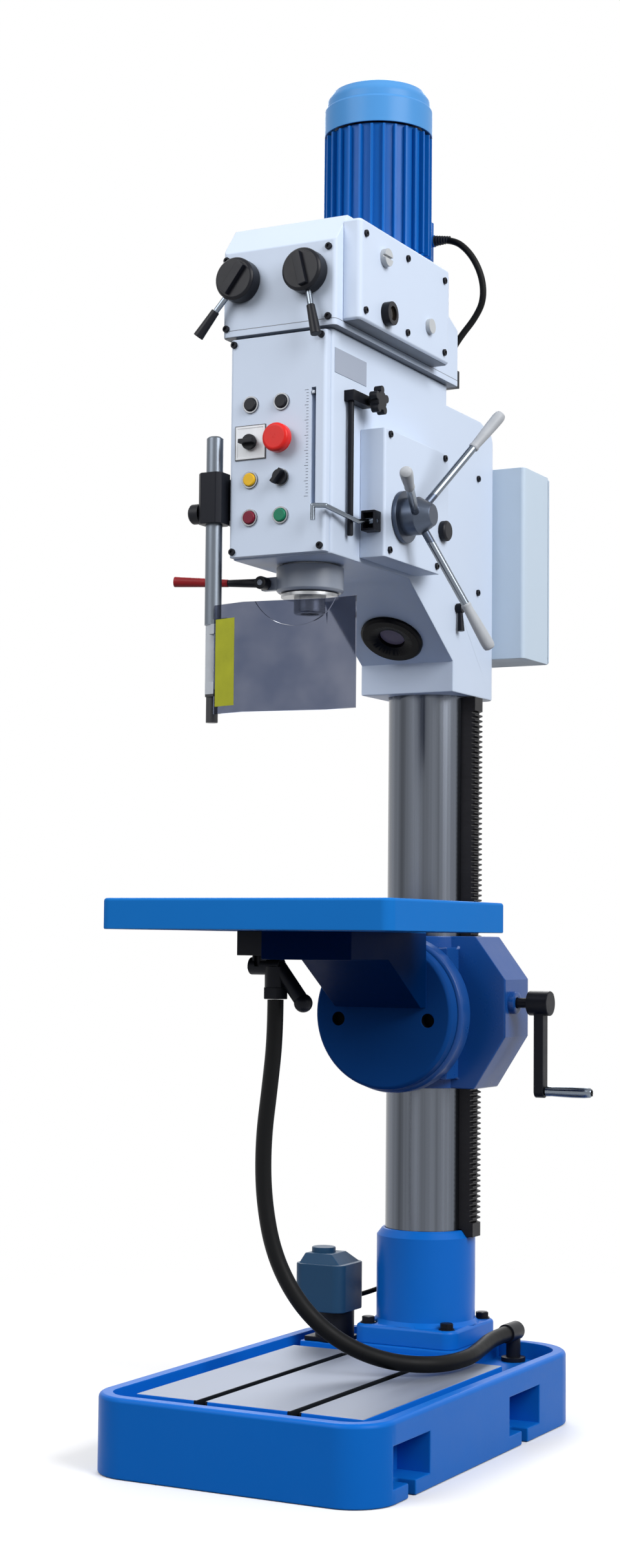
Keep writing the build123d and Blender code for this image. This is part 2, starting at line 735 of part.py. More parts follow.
# Spindle: taper nose below, spline above
nose_z = quill_low - spindle_nose_len
spline_top = gear_top - wall - 3
flange_gap = 2.0
spindle = rod_z(0, spindle_y, nose_z, quill_low - flange_gap, spindle_nose_r)
spindle = chamfer(spindle.edges().filter_by(GeomType.CIRCLE).sort_by(Axis.Z)[0], 2)
spindle = spindle + rod_z(0, spindle_y, quill_low - flange_gap - 6, quill_low - flange_gap, collar_r - 8)
spindle = spindle + rod_z(0, spindle_y, quill_low - flange_gap - 1, quill_top + 3, spindle_r)
spindle = spindle + rod_z(0, spindle_y, quill_top + 2, spline_top, spline_r)
for k in range(6):
    key = block(spline_r - 3, spline_r + 3, -3, 3, quill_top + 8, spline_top)
    spindle = spindle + Pos(0, spindle_y, 0) * Rot(0, 0, 60 * k) * key
spindle = spindle - Pos(0, spindle_y, nose_z + taper_len / 2) * Cone(taper_big_r, taper_small_r, taper_len)
drift = block(-40, 40, spindle_y - 6, spindle_y + 6, nose_z + taper_len - 12, nose_z + taper_len + 26)
spindle = spindle - drift
save("spindle", spindle)

# Gear train: rotor with fan and pinion, two layshafts, sleeve gear on the spline
pair_z = (gear_top - 50, gear_top - 90, gear_low + 48)


def at_level(k, teeth, y, centre, gap=False):
    return gear_z(gear_module, teeth, 0, y, pair_z[k], pair_z[k] + gear_face, centre, gap)


motor_low = gear_top
motor_body_z = motor_low + motor_flange_t
cowl_z = motor_body_z + motor_body_h
rotor_r = 54.0
motor_shaft_r = 13.0
fan_z = cowl_z + 14
fan_r = 78.0
rotor = rod_z(0, motor_y, pair_z[0] - 6, fan_z + 30, motor_shaft_r)
rotor = rotor + at_level(0, gear_pairs[0][0], motor_y, -90)
rotor = rotor + rod_z(0, motor_y, motor_body_z + 40, cowl_z - 40, rotor_r)
rotor = rotor + rod_z(0, motor_y, fan_z, fan_z + 4, fan_r)
for k in range(8):
    blade = block(22, fan_r - 2, -1.5, 1.5, fan_z + 3, fan_z + 24)
    rotor = rotor + Pos(0, motor_y, 0) * Rot(0, 0, 45 * k) * blade
save("motor_rotor", rotor)
lay_low = gear_low + 4
lay_high = gear_top - 4


def layshaft(y):
    return rod_z(0, y, lay_low, lay_high, lay_r) + rod_z(0, y, gear_low + 20, gear_top - 16, lay_r + 3)


lay_a = layshaft(lay_a_y) + at_level(0, gear_pairs[0][1], lay_a_y, 90, True)
lay_a = lay_a + at_level(1, gear_pairs[1][0], lay_a_y, -90)
save("layshaft_rear", lay_a)
lay_b = layshaft(lay_b_y) + at_level(1, gear_pairs[1][1], lay_b_y, 90, True)
lay_b = lay_b + at_level(2, gear_pairs[2][0], lay_b_y, -90)
save("layshaft_front", lay_b)
sleeve_low = quill_top + 8
sleeve_r_out = 28.0
sleeve = rod_z(0, spindle_y, sleeve_low, pair_z[1] - 8, sleeve_r_out)
sleeve = sleeve + at_level(2, gear_pairs[2][1], spindle_y, 90, True)
sleeve = sleeve - rod_z(0, spindle_y, sleeve_low - 1, pair_z[1], spline_r + run_gap)
for k in range(6):
    slot = block(spline_r - 4, spline_r + 3.4, -3.4, 3.4, sleeve_low - 1, pair_z[1])
    sleeve = sleeve - Pos(0, spindle_y, 0) * Rot(0, 0, 60 * k) * slot
save("spindle_gear", sleeve)

# Motor: flange, ribbed body, terminal box, fan cowl
motor = rod_z(0, motor_y, motor_low, motor_body_z, motor_r + 1)
motor = motor + rod_z(0, motor_y, motor_body_z - 1, cowl_z, motor_core_r)
for k in range(fin_count):
    fin = block(motor_core_r - 4, motor_r, -fin_t / 2, fin_t / 2, motor_body_z + 8, cowl_z - 4)
    motor = motor + Pos(0, motor_y, 0) * Rot(0, 0, (k + 0.5) * 360 / fin_count) * fin
box_rear = motor_y + motor_r + 42
box_z = motor_body_z + 26
motor = motor + block(-46, 46, motor_y + motor_core_r - 20, box_rear, box_z, box_z + 84)
motor = motor - rod_z(0, motor_y, motor_body_z + 20, cowl_z + 1, rotor_r + 6)
motor = motor - rod_z(0, motor_y, motor_low - 1, motor_body_z + 21, motor_shaft_r + run_gap)
gland_x = 46.0
motor_gland_y = box_rear - 22
motor_gland_z = box_z + 43
motor = motor + rod_x(gland_x - 1, gland_x + 13, motor_gland_y, motor_gland_z, 11)
save("motor_frame", motor)
cowl_top = cowl_z + cowl_h
cowl_prof = [(0, cowl_z), (motor_r, cowl_z), (motor_r, cowl_z + 46), (motor_r - 4, cowl_z + 50),
             (motor_r - 5, cowl_z + 64), (motor_r - 14, cowl_z + 78), (motor_r - 28, cowl_top), (0, cowl_top)]
cowl_face = Plane.XZ * make_face(Polyline(*cowl_prof, close=True))
cowl = Pos(0, motor_y, 0) * revolve(cowl_face, Axis.Z)
inner = [(0, cowl_z - 1), (motor_r - 3, cowl_z - 1), (motor_r - 3, cowl_z + 45), (motor_r - 9, cowl_z + 60),
         (motor_r - 30, cowl_top - 4), (0, cowl_top - 4)]
cowl = cowl - Pos(0, motor_y, 0) * revolve(Plane.XZ * make_face(Polyline(*inner, close=True)), Axis.Z)
for k in range(12):
    vent = block(18, 60, -3.5, 3.5, cowl_top - 6, cowl_top + 1)
    cowl = cowl - Pos(0, motor_y, 0) * Rot(0, 0, 30 * k) * vent
save("motor_cowl", cowl)

# Cable from the terminal box in a loop down to an entry box on the gearbox rear
cable_r = 6.0
entry_x = half_gear - 23
entry_y = -gearbox_rear + 17
entry_z = gear_low + 36
entry_half = 13.0
loop_x = gland_x + 102
motor_cable_pts = [
    (gland_x + 13, motor_gland_y, motor_gland_z), (gland_x + 48, motor_gland_y, motor_gland_z),
    (gland_x + 82, motor_gland_y + 4, motor_gland_z - 29), (loop_x, motor_gland_y + 12, motor_gland_z - 73),
    (loop_x, entry_y + 5, motor_gland_z - 115), (entry_x + 44, entry_y + 12, entry_z + 95),
    (entry_x + 17, entry_y + 6, entry_z + 62), (entry_x, entry_y, entry_z + 32), (entry_x, entry_y, entry_z),
]
save("motor_cable", cord("motor_cable", motor_cable_pts, cable_r))
cable_entry = block(
    entry_x - entry_half, entry_x + entry_half, -gearbox_rear, entry_y + entry_half, entry_z - 32, entry_z
)

# Shift levers: dished knobs with a raised bar, a steel rod and a grip


def shift_lever(x, angle):
    front = -gearbox_front - shift_t - 2
    disc = rod_y(x, front, -gearbox_front - 2, shift_z, shift_r)
    disc = chamfer(disc.edges().filter_by(GeomType.CIRCLE).sort_by(Axis.Y)[0], 4)
    bar = Pos(x, front, shift_z) * Rot(0, -angle, 0) * Box(15, 16, 56)
    a = math.radians(angle)
    way = (math.sin(a), -math.cos(a))
    y = front + 14

    def along(d, out):
        return (x + way[0] * d, y - out, shift_z + way[1] * d)

    lever = disc + bar + stick(along(shift_r - 8, 0), along(shift_len - 48, 5), 5)
    lever = lever + stick(along(shift_len - 52, 5), along(shift_len, 9), 7, 9)
    shaft = rod_y(x, -gearbox_front - 3, -gearbox_front + 34, shift_z, shift_shaft_r)
    cam = rod_y(x, -gearbox_front + 24, -gearbox_front + 33, shift_z, 20)
    return lever + shaft + cam


save("shift_lever_left", shift_lever(shift_x[0], shift_angle[0]))
save("shift_lever_right", shift_lever(shift_x[1], shift_angle[1]))

# Feed gear case: a box shell on the right flank of the head
case_y0 = spindle_y - case_front
case_y1 = case_y0 + case_len
case_z0 = head_bottom + case_bottom_up
case_z1 = case_z0 + case_h
case_side = [
    (case_y0, case_z0), (case_y0, case_z1), (case_y1, case_z1), (case_y1, case_z0 + 34),
    (case_y1 - 40, case_z0),
]
case = prism_x(case_side, half_head, case_x)
case = fillet(case.edges().filter_by(Axis.Z).filter_by(lambda e: e.center().X > case_x - 1), 5)
case = case - block(
    half_head - 1, case_x - case_wall, case_y0 + case_wall, case_y1 - 44,
    case_z0 + case_wall, case_z1 - case_wall,
)
case = case - rod_x(case_x - 12, case_x + 1, feed_y, feed_z, feed_shaft_r + run_gap)
clutch_y = case_y1 - 28
clutch_z = feed_z + 2
clutch_r = 18.0
case = case - rod_x(half_head - 1, case_x + 1, clutch_y, clutch_z, 8 + run_gap)
trip_x = 120.0
trip_z = feed_z - 18
trip_pin_y = case_y0 - 12
save("feed_gearcase", case)
clutch = rod_x(case_x + 1, case_x + 13, clutch_y, clutch_z, clutch_r)
clutch = chamfer(clutch.edges().filter_by(GeomType.CIRCLE).sort_by(Axis.X)[-1], 3)
clutch = clutch + rod_x(half_head + 14, case_x + 2, clutch_y, clutch_z, 8)
save("clutch_knob", clutch)

# Feed handle: pinion shaft, dial hub and three raked arms with grips
hub_low = case_x + 1
hub = rod_x(-half_head + 2, hub_low + 1, feed_y, feed_z, feed_shaft_r)
pinion_plane = Plane(origin=(-pinion_half, 0, 0), x_dir=(0, 1, 0), z_dir=(1, 0, 0))
pinion_face = pinion_plane * gear_face_2d(feed_module, feed_teeth, 180)
hub = hub + Pos(0, feed_y, feed_z) * extrude(pinion_face, 2 * pinion_half)
hub = hub + rod_x(hub_low, hub_low + 8, feed_y, feed_z, hub_r + 6)
hub = hub + rod_x(hub_low + 7, hub_x + 8, feed_y, feed_z, hub_r - 6)
hub = hub + stick((hub_x + 7, feed_y, feed_z), (hub_x + 32, feed_y, feed_z), hub_r - 6, hub_r - 20)
grips = []
rake = math.radians(arm_rake)
for k in range(3):
    a = math.radians(arm_turn + 120 * k)
    way = Vector(math.sin(rake), math.cos(rake) * math.cos(a), math.cos(rake) * math.sin(a))
    mid = Vector(hub_x, feed_y, feed_z)
    arm_end = mid + way * (arm_len - grip_len)
    socket_end = arm_end + way * 20
    hub = hub + stick(tuple(mid + way * 10), tuple(socket_end), arm_r)
    grip = stick(tuple(arm_end), tuple(mid + way * arm_len), grip_r - 2, grip_r)
    grips.append(grip - stick(tuple(arm_end - way), tuple(socket_end), arm_r + fit_gap))
save("feed_handle", hub)
save("feed_grips", Compound(grips))

# Depth rod in its black clamp, star knob and trip lever
depth_x = 101.0
depth_y = spindle_y - 51
depth_r = 5.0
depth_top = scale_top + 5
depth_low = feed_z - 47
depth = rod_z(depth_x, depth_y, depth_low, depth_top, depth_r)
depth = chamfer(depth.edges().filter_by(GeomType.CIRCLE), 1)
save("depth_rod", depth)
star_y = spindle_y - 2
star_z = scale_top - 4
stem_r = 6.0
bracket_x1 = half_head + 18
stop = block(half_head, bracket_x1, depth_y - 11, star_y + 11, star_z - 9, star_z + 9)
stop = stop - rod_z(depth_x, depth_y, star_z - 10, star_z + 10, depth_r + run_gap)
stop = stop - rod_x(half_head - 1, bracket_x1 + 1, star_y, star_z, stem_r + run_gap)
trip_block = block(trip_x - 13, trip_x + 13, case_y0 - 24, case_y0, trip_z - 17, trip_z + 17)
trip_block = trip_block - block(trip_x - 9, trip_x + 9, case_y0 - 25, case_y0 - 3, trip_z - 13, trip_z + 13)
trip_block = trip_block - rod_x(trip_x - 14, trip_x + 14, trip_pin_y, trip_z, 3 + run_gap)
save("stop_bracket", Compound([stop, trip_block]))
star = rod_x(half_head + 2, bracket_x1 + 9, star_y, star_z, stem_r)
star = star + rod_x(bracket_x1 + 8, bracket_x1 + 24, star_y, star_z, 16)
for k in range(5):
    a = math.radians(90 + 72 * k)
    point_y = star_y + 18 * math.cos(a)
    point_z = star_z + 18 * math.sin(a)
    star = star + rod_x(bracket_x1 + 10, bracket_x1 + 24, point_y, point_z, 7)
save("star_knob", star)
trip_tip_y = panel_y - 18
trip_pts = [
    (trip_x, trip_pin_y, trip_z), (trip_x - 8, depth_y + 8, trip_z - 5),
    (scale_x + 30, trip_tip_y + 6, trip_z + 8), (scale_x + 10, trip_tip_y, trip_z + 9),
    (scale_x + 10, trip_tip_y, trip_z - 15),
]
trip = rod_x(trip_x - 8.5, trip_x + 8.5, trip_pin_y, trip_z, 8)
trip = trip + rod_x(trip_x - 12, trip_x + 12, trip_pin_y, trip_z, 3)
for a, b in zip(trip_pts, trip_pts[1:]):
    trip = trip + stick(a, b, 4)
for p in trip_pts[1:4]:
    trip = trip + Pos(*p) * Sphere(4)
save("trip_lever", trip)

# Small lever beside the column clamp
tap = rod_x(half_head - 12, half_head + 6, tap_y, tap_z, tap_r)
tap = tap + rod_x(half_head + 1, half_head + 13, tap_y, tap_z, 9)
tap = tap + stick((half_head + 7, tap_y, tap_z), (half_head + 9, tap_y, tap_z - 42), 4, 6.5)
save("clamp_lever", tap)

# Red-tipped lever on the quill collar
grip_root = (-124.0, lever_y - 16, lever_z + 1)
lever_tip = (-216.0, lever_y - 40, lever_z + 6)
red = stick((lever_x, lever_y, lever_z), grip_root, 8, 6) + stick(grip_root, lever_tip, 6.5, 9)
red = red + rod_y(lever_x, lever_y - 10, lever_y + 10, lever_z, 11)
red = red - rod_y(lever_x, lever_y - 12, lever_y + 12, lever_z, pin_r + run_gap)
save("collar_lever", red)

# Guard: clamp on the head, post, folded clear screen and clamp knob
guard_x = -half_head - guard_out
guard_y = head_front - guard_reach
clamp_lo = feed_z - 25
clamp_hi = feed_z + 61
clamp_block = block(guard_x - 22, guard_x + 22, guard_y - 22, guard_y + 22, clamp_lo, clamp_hi)
clamp_block = chamfer(clamp_block.edges().filter_by(Axis.Z), 8)
clamp_arm = block(guard_x - 6, -half_head, guard_y + 15, guard_y + 62, clamp_lo + 8, clamp_hi - 8)
clamp_block = clamp_block + clamp_arm
clamp_block = clamp_block - rod_z(guard_x, guard_y, clamp_lo - 1, clamp_hi + 1, guard_rod_r + run_gap)
knob_z = clamp_lo + 21
clamp_block = clamp_block - rod_x(guard_x - 23, guard_x - 10, guard_y, knob_z, 5 + run_gap)
save("guard_clamp", clamp_block)
guard_knob = rod_x(guard_x - 44, guard_x - 24, guard_y, knob_z, 17)
guard_knob = chamfer(guard_knob.edges().filter_by(GeomType.CIRCLE).sort_by(Axis.X)[0], 4)
guard_knob = guard_knob + rod_x(guard_x - 25, guard_x - 16, guard_y, knob_z, 5)
save("guard_knob", guard_knob)
screen_y = guard_y - screen_front
screen_left = guard_x + 14
post = rod_z(guard_x, guard_y, screen_high - 30, guard_top, guard_rod_r)
post = chamfer(post.edges().filter_by(GeomType.CIRCLE).sort_by(Axis.Z)[-1], 3)
post = post + rod_z(guard_x, guard_y, screen_low + 34, screen_high - 29, guard_rod_r - 2)
post = post + rod_z(guard_x, guard_y, guard_low, screen_low + 35, guard_rod_r - 4)
wing_slope = wing_out / wing_w
ear_x0 = guard_x - 8
ear_x1 = screen_left + 26
ear_t = 6.0
back_y0 = screen_y + screen_t - (ear_x0 - screen_left) * wing_slope
back_y1 = screen_y + screen_t - (ear_x1 - screen_left) * wing_slope
ear_pts = [(ear_x0, back_y0), (ear_x1, back_y1), (ear_x1, back_y1 + ear_t), (ear_x0, back_y0 + ear_t)]
for z in (screen_low + 30, screen_high - 46):
    post = post + prism_z(ear_pts, z, z + 24)
    post = post + block(ear_x0, guard_x + 8, back_y0 + 1, guard_y, z, z + 24)
save("guard_post", post)
fold_1 = (screen_left + wing_w, screen_y - wing_out)
fold_2 = (fold_1[0] + pane_w, fold_1[1] + pane_back)
screen_end = (fold_2[0] + lip_w, fold_2[1] - lip_out)
front_line = [(screen_left, screen_y), fold_1, fold_2, screen_end]
back_line = [(x, y + screen_t) for x, y in reversed(front_line)]
screen = prism_z(front_line + back_line, screen_low, screen_high)
notch_x = 53.0
notch_r = 80.0
notch_z = screen_high + 38
screen = screen - rod_y(notch_x, screen_y - 2 * wing_out, screen_y + 2 * wing_out, notch_z, notch_r)
save("guard_screen", screen)

# Electrical cabinet on the rear of the head
cab_y1 = cab_y0 + cab_d
cab_z1 = cab_z0 + cab_h
half_cab = cab_w / 2
cabinet = block(-half_cab, half_cab, cab_y0, cab_y1 - 3, cab_z0, cab_z1)
cabinet = fillet(cabinet.edges().filter_by(Axis.Z), 8)
cabinet = cabinet - block(
    -half_cab + cab_wall, half_cab - cab_wall, cab_y0 + cab_wall, cab_y1, cab_z0 + cab_wall, cab_z1 - cab_wall
)
cabinet = cabinet + block(-60, 60, head_rear, cab_y0 + 1, cab_z0 + 40, cab_z0 + 60)
cabinet = cabinet + block(-60, 60, head_rear, cab_y0 + 1, cab_z1 - 60, cab_z1 - 40)
hinge_x = -half_cab + 1
hinge_y = cab_y1 + 2
hinge_r = 4.5
hinge_pin_r = 2.0
hinge_h = 30.0
hinge_gap = 0.3
hinge_zs = (cab_z0 + 40, cab_z1 - 40 - 2 * hinge_h)
for z in hinge_zs:
    cabinet = cabinet + block(-half_cab - 3, -half_cab + 1, cab_y1 - 30, cab_y1 - 3, z, z + hinge_h)
    cabinet = cabinet + block(-half_cab - 3, -half_cab - 1, cab_y1 - 4, hinge_y, z, z + hinge_h)
    cabinet = cabinet + rod_z(hinge_x, hinge_y, z, z + hinge_h, hinge_r)
    cabinet = cabinet + rod_z(hinge_x, hinge_y, z + hinge_h - 1, z + 2 * hinge_h - 1, hinge_pin_r)
save("electrical_cabinet", cabinet)
door = block(-half_cab + 1, half_cab - 1, cab_y1 - 2.6, cab_y1 + 2, cab_z0 + 1, cab_z1 - 1)
door = fillet(door.edges().filter_by(Axis.Y), 6)
handle_x = half_cab - 40
handle_z = cab_z0 + cab_h / 2
door = door + block(handle_x, handle_x + 16, cab_y1 + 1, cab_y1 + 9, handle_z - 16, handle_z + 16)
for z in hinge_zs:
    knuckle_z = z + hinge_h + hinge_gap
    knuckle_top = z + 2 * hinge_h
    door = door - rod_z(hinge_x, hinge_y, z - 1, knuckle_z, hinge_r + free_gap)
    door = door + rod_z(hinge_x, hinge_y, knuckle_z, knuckle_top, hinge_r)
    door = door - rod_z(hinge_x, hinge_y, knuckle_z - 1, knuckle_top + 1, hinge_pin_r + run_gap)
save("cabinet_door", door)

# Table with gutter, T-slots, underside ribs, arm and tilt disc
half_table = table_w / 2
table_rear = spindle_y + table_d / 2
table_front = spindle_y - table_d / 2
table_low = table_top - table_t
skin_low = table_top - table_skin
table = slab(table_w, table_d, 18, 0, spindle_y, table_low, table_top)
table = chamfer(table.faces().sort_by(Axis.Z)[-1].edges(), 3)
gutter_in = 16.0
gutter_w = 18.0
rim_low = table_top - 8
gutter = slab(table_w - 2 * gutter_in, table_d - 2 * gutter_in, 14, 0, spindle_y, rim_low, table_top + 1)
inset = gutter_in + gutter_w
island = slab(table_w - 2 * inset, table_d - 2 * inset, 6, 0, spindle_y, rim_low - 1, table_top + 2)
table = table - (gutter - island)
for x in (-table_tslot_x, table_tslot_x):
    table = table - tslot_y(x, table_front + gutter_in + 4, table_rear - gutter_in - 4, table_top)
half_arm = table_arm_w / 2


# Tilt disc with its front edge chamfered
def disc_y(y0, y1, r):
    disc = rod_y(0, y0, y1, tilt_z, r)
    return chamfer(disc.edges().filter_by(GeomType.CIRCLE).sort_by(Axis.Y)[0], disc_chamfer)


under = slab(table_w - 2 * table_rim, table_d - 2 * table_rim, 12, 0, spindle_y, table_low - 1, skin_low)
under = under - block(-half_arm, half_arm, table_arm_front, table_rear, table_low - 1, skin_low)
boss_x0 = drain_x - 56
boss_x1 = -half_arm
boss_y0 = drain_y - 40
boss_y1 = drain_y + 24
under = under - block(boss_x0, boss_x1 + 1, boss_y0, boss_y1, table_low - 1, skin_low)
for y in (spindle_y - 110, spindle_y + 130):
    under = under - block(-half_table, half_table, y - 8, y + 8, table_low - 1, skin_low)
under = under - block(-8, 8, table_front, table_rear, table_low - 1, skin_low)
table = table - under
arm_low = table_low - table_arm_h
disc_rear = tilt_face_y + disc_t
table = table + block(-half_arm, half_arm, table_arm_front, tilt_face_y + 1, arm_low, table_low + 1)
web_side = [
    (tilt_face_y + 1, table_web_low), (tilt_face_y - table_web_foot, table_web_low),
    (table_web_front, arm_low + 1), (tilt_face_y + 1, arm_low + 1),
]
table = table + prism_x(web_side, -half_arm, half_arm)
table = table + disc_y(tilt_face_y, disc_rear, tilt_disc_r)
back_face = disc_rear + disc_gap
back_rear = back_face + back_disc_t
table = table + rod_y(0, disc_rear - 1, back_rear - 6, tilt_z, pivot_r)
clamp_spots = ((-88.0, tilt_z - 10), (88.0, tilt_z - 10))
for x, z in clamp_spots:
    table = table - rod_y(x, tilt_face_y - 1, tilt_face_y + 14, z, 12)
bleed_r = 7.0
bleed_x = drain_x - 30
bleed_y = drain_y - 10
table = table - rod_z(bleed_x, bleed_y, table_low - 1, table_top - 7, bleed_r)
save("work_table", table)

# Bracket: column sleeve, neck, back disc and elevating gear housing
bracket = rod_z(0, 0, bracket_low, bracket_high, sleeve_r)
half_neck = neck_w / 2
bracket = bracket + block(-half_neck, half_neck, back_rear - 2, 0, bracket_low + 18, bracket_high - 20)
bracket = bracket + disc_y(back_face, back_rear, back_disc_r)
gear_case = [
    (60, bracket_low), (case_right - 60, bracket_low), (case_right, bracket_low + 94),
    (case_right, bracket_high - 77), (case_right - 58, bracket_high), (60, bracket_high),
]
bracket = bracket + prism_y(gear_case, gear_case_y0, gear_case_y1)
bracket = bracket + rod_x(case_right - 2, case_right + 12, crank_y, elevate_z, 20)
bracket = bracket - rod_z(0, 0, bracket_low - 1, bracket_high + 1, col_r + run_gap)
rack_way = half_rack + rub_gap
bracket = bracket - block(50, rack_tip + 1, -rack_way, rack_way, bracket_low - 1, bracket_high + 1)
elevate_r = rack_module * elevate_teeth / 2
pinion_x = rack_pitch_x + elevate_r
bevel_r = bevel_module * bevel_large / 2
bevel_small_r = bevel_module * bevel_small / 2
wheel_y = crank_y + bevel_small_r
cave_y0 = crank_y - bevel_small_r - 4
cave_z0 = elevate_z - bevel_r - 5
cave_z1 = elevate_z + bevel_r + 5
bracket = bracket - block(pinion_x - bevel_r - 3, case_right - 10, cave_y0, half_rack + 1, cave_z0, cave_z1)
bracket = bracket - rod_y(pinion_x, half_rack, gear_case_y1 - 4, elevate_z, shaft_r + run_gap)
bracket = bracket - rod_x(case_right - 12, case_right + 13, crank_y, elevate_z, shaft_r + run_gap)
bracket = bracket - rod_y(0, back_face - 1, back_rear - 3, tilt_z, pivot_r + run_gap)
lock_x = -sleeve_r - 14
lock_y = 40.0
lock_z = tilt_z
lug_y1 = lock_y + 22
lug = block(-sleeve_r - 4, -60, lock_y - 22, lug_y1, lock_z - 24, lock_z + 24)
bracket = bracket + (lug - rod_z(0, 0, lock_z - 30, lock_z + 30, sleeve_r - 2))
bracket = bracket - rod_x(-sleeve_r - 5, -sleeve_r + 24, lock_y, lock_z, shaft_r + run_gap)
save("table_bracket", bracket)
lock_end = -sleeve_r - 30
lock = rod_x(lock_end, -sleeve_r + 20, lock_y, lock_z, shaft_r)
lock = lock + rod_x(lock_end, -sleeve_r - 6, lock_y, lock_z, 16)
lock = lock + stick((-sleeve_r - 20, lock_y, lock_z), (-sleeve_r - 40, lock_y + 12, lock_z - 96), 6)
lock = lock + Pos(-sleeve_r - 42, lock_y + 13, lock_z - 106) * Sphere(13)
save("table_lock", lock)

# Elevating pinion with bevel wheel, and the crank shaft with bevel pinion


def bevel_gear(teeth, pitch_r, cone_len, centre, gap, origin, x_dir, z_dir):
    outer = gear_face_2d(bevel_module, teeth, centre, gap, 1.0, 0.7)
    shrink = 1 - bevel_face / cone_len
    inner = scale(gear_face_2d(bevel_module, teeth, centre, gap, 1.0, 0.7), shrink)
    depth = math.sqrt(cone_len ** 2 - pitch_r ** 2) * (1 - shrink)
    blank = loft([outer, Pos(0, 0, depth) * inner], ruled=True)
    return Plane(origin=origin, x_dir=x_dir, z_dir=z_dir) * blank


cone_len = math.hypot(bevel_r, bevel_small_r)
wheel_at = (pinion_x, wheel_y, elevate_z)
wheel = bevel_gear(bevel_large, bevel_r, cone_len, 0, True, wheel_at, (1, 0, 0), (0, -1, 0))
lift_plane = Plane(origin=(0, half_rack, 0), x_dir=(1, 0, 0), z_dir=(0, -1, 0))
lift_face = lift_plane * gear_face_2d(rack_module, elevate_teeth, 180)
lift = Pos(pinion_x, 0, elevate_z) * extrude(lift_face, rack_w)
lift = lift + wheel + rod_y(pinion_x, wheel_y - 1, gear_case_y1 - 5, elevate_z, shaft_r)
lift = lift + rod_y(pinion_x, wheel_y - 0.5, -half_rack + 1, elevate_z, elevate_r - 5)
save("elevating_pinion", lift)
crank_wheel_x = pinion_x + bevel_r
crank_at = (crank_wheel_x, crank_y, elevate_z)
crank = bevel_gear(bevel_small, bevel_small_r, cone_len, 0, False, crank_at, (0, 1, 0), (-1, 0, 0))
crank = crank + rod_x(crank_wheel_x - 1, crank_hub_x + 1, crank_y, elevate_z, shaft_r)
hub_end = crank_hub_x + 40
crank = crank + rod_x(crank_hub_x, hub_end, crank_y, elevate_z, 22)
arm_x = hub_end - 19
grip_z = elevate_z - crank_arm
crank = crank + block(arm_x - 9, arm_x + 9, crank_y - 12, crank_y + 12, grip_z, elevate_z)
crank = crank + rod_x(arm_x - 9, arm_x + 9, crank_y, grip_z, 12)
crank = crank + rod_x(arm_x + 8, arm_x + 10 + crank_grip_len, crank_y, grip_z, 5)
save("table_crank", crank)
handle = rod_x(arm_x + 10, arm_x + 9 + crank_grip_len, crank_y, grip_z, 10)
handle = fillet(handle.edges().filter_by(GeomType.CIRCLE), 2.5)
handle = handle - rod_x(arm_x, arm_x + 20 + crank_grip_len, crank_y, grip_z, 5 + run_gap)
save("crank_handle", handle)

# Table drain: block, elbow with hose union and a blanked branch
union_z = 752.0
elbow_z = union_z + 58
drain = block(boss_x0, boss_x1 - 1, boss_y0 + 2, boss_y1 - 2, arm_low + 6, table_low)
drain = drain + rod_x(drain_x - 48, drain_x + 12, drain_y, elbow_z, 15)
drain = drain + rod_z(drain_x, drain_y, union_z + 2, elbow_z, 19)
branch = (drain_x + 54, drain_y, union_z - 4)
drain = drain + stick((drain_x + 6, drain_y, elbow_z), branch, 13) + Pos(*branch) * Sphere(16)
drain = drain + block(drain_x - 40, drain_x - 12, drain_y - 12, drain_y + 12, elbow_z, arm_low + 7)
nut = Pos(drain_x, drain_y, union_z + 2) * extrude(RegularPolygon(23, 6), 20)
drain = drain + nut
drain = drain - rod_z(drain_x, drain_y, union_z, elbow_z, hose_bore_r)
drain = drain - rod_z(bleed_x, bleed_y, elbow_z, table_low + 1, bleed_r - 1)
save("table_drain", drain)

# Drain hose in three lengths along one run of points
hose_end_y = 20.0
hose_above = 4.0
rest_z = face_z + hose_r + hose_above
elbow_mid = rest_z + 11
hose_pts = [
    (drain_x, drain_y, union_z + 1), (drain_x, drain_y, union_z - 62),
    (drain_x - 8, drain_y - 1, union_z - 142), (drain_x - 21, drain_y - 1, union_z - 242),
    (drain_x - 20, drain_y + 2, union_z - 342), (drain_x, drain_y + 6, union_z - 437),
    (drain_x + 45, drain_y + 17, union_z - 517), (drain_x + 108, drain_y + 38, union_z - 574),
    (hose_in_x - 70, hose_end_y - 350, rest_z + 8), (hose_in_x - 2, hose_end_y - 300, rest_z),
    (hose_in_x + 18, hose_end_y - 210, rest_z), (hose_in_x + 8, hose_end_y - 130, rest_z + 4),
    (hose_in_x, hose_end_y - 65, elbow_mid), (hose_in_x, hose_end_y, elbow_mid),
]


def halfway(a, b):
    return tuple((p + q) / 2 for p, q in zip(a, b))


split_a = halfway(hose_pts[2], hose_pts[3])
split_b = halfway(hose_pts[7], hose_pts[8])
save("hose_upper", cord("hose_upper", hose_pts[:3] + [split_a], hose_r, hose_bore_r))
save("hose_middle", cord("hose_middle", [split_a] + hose_pts[3:8] + [split_b], hose_r, hose_bore_r))
save("hose_lower", cord("hose_lower", [split_b] + hose_pts[8:], hose_r, hose_bore_r))

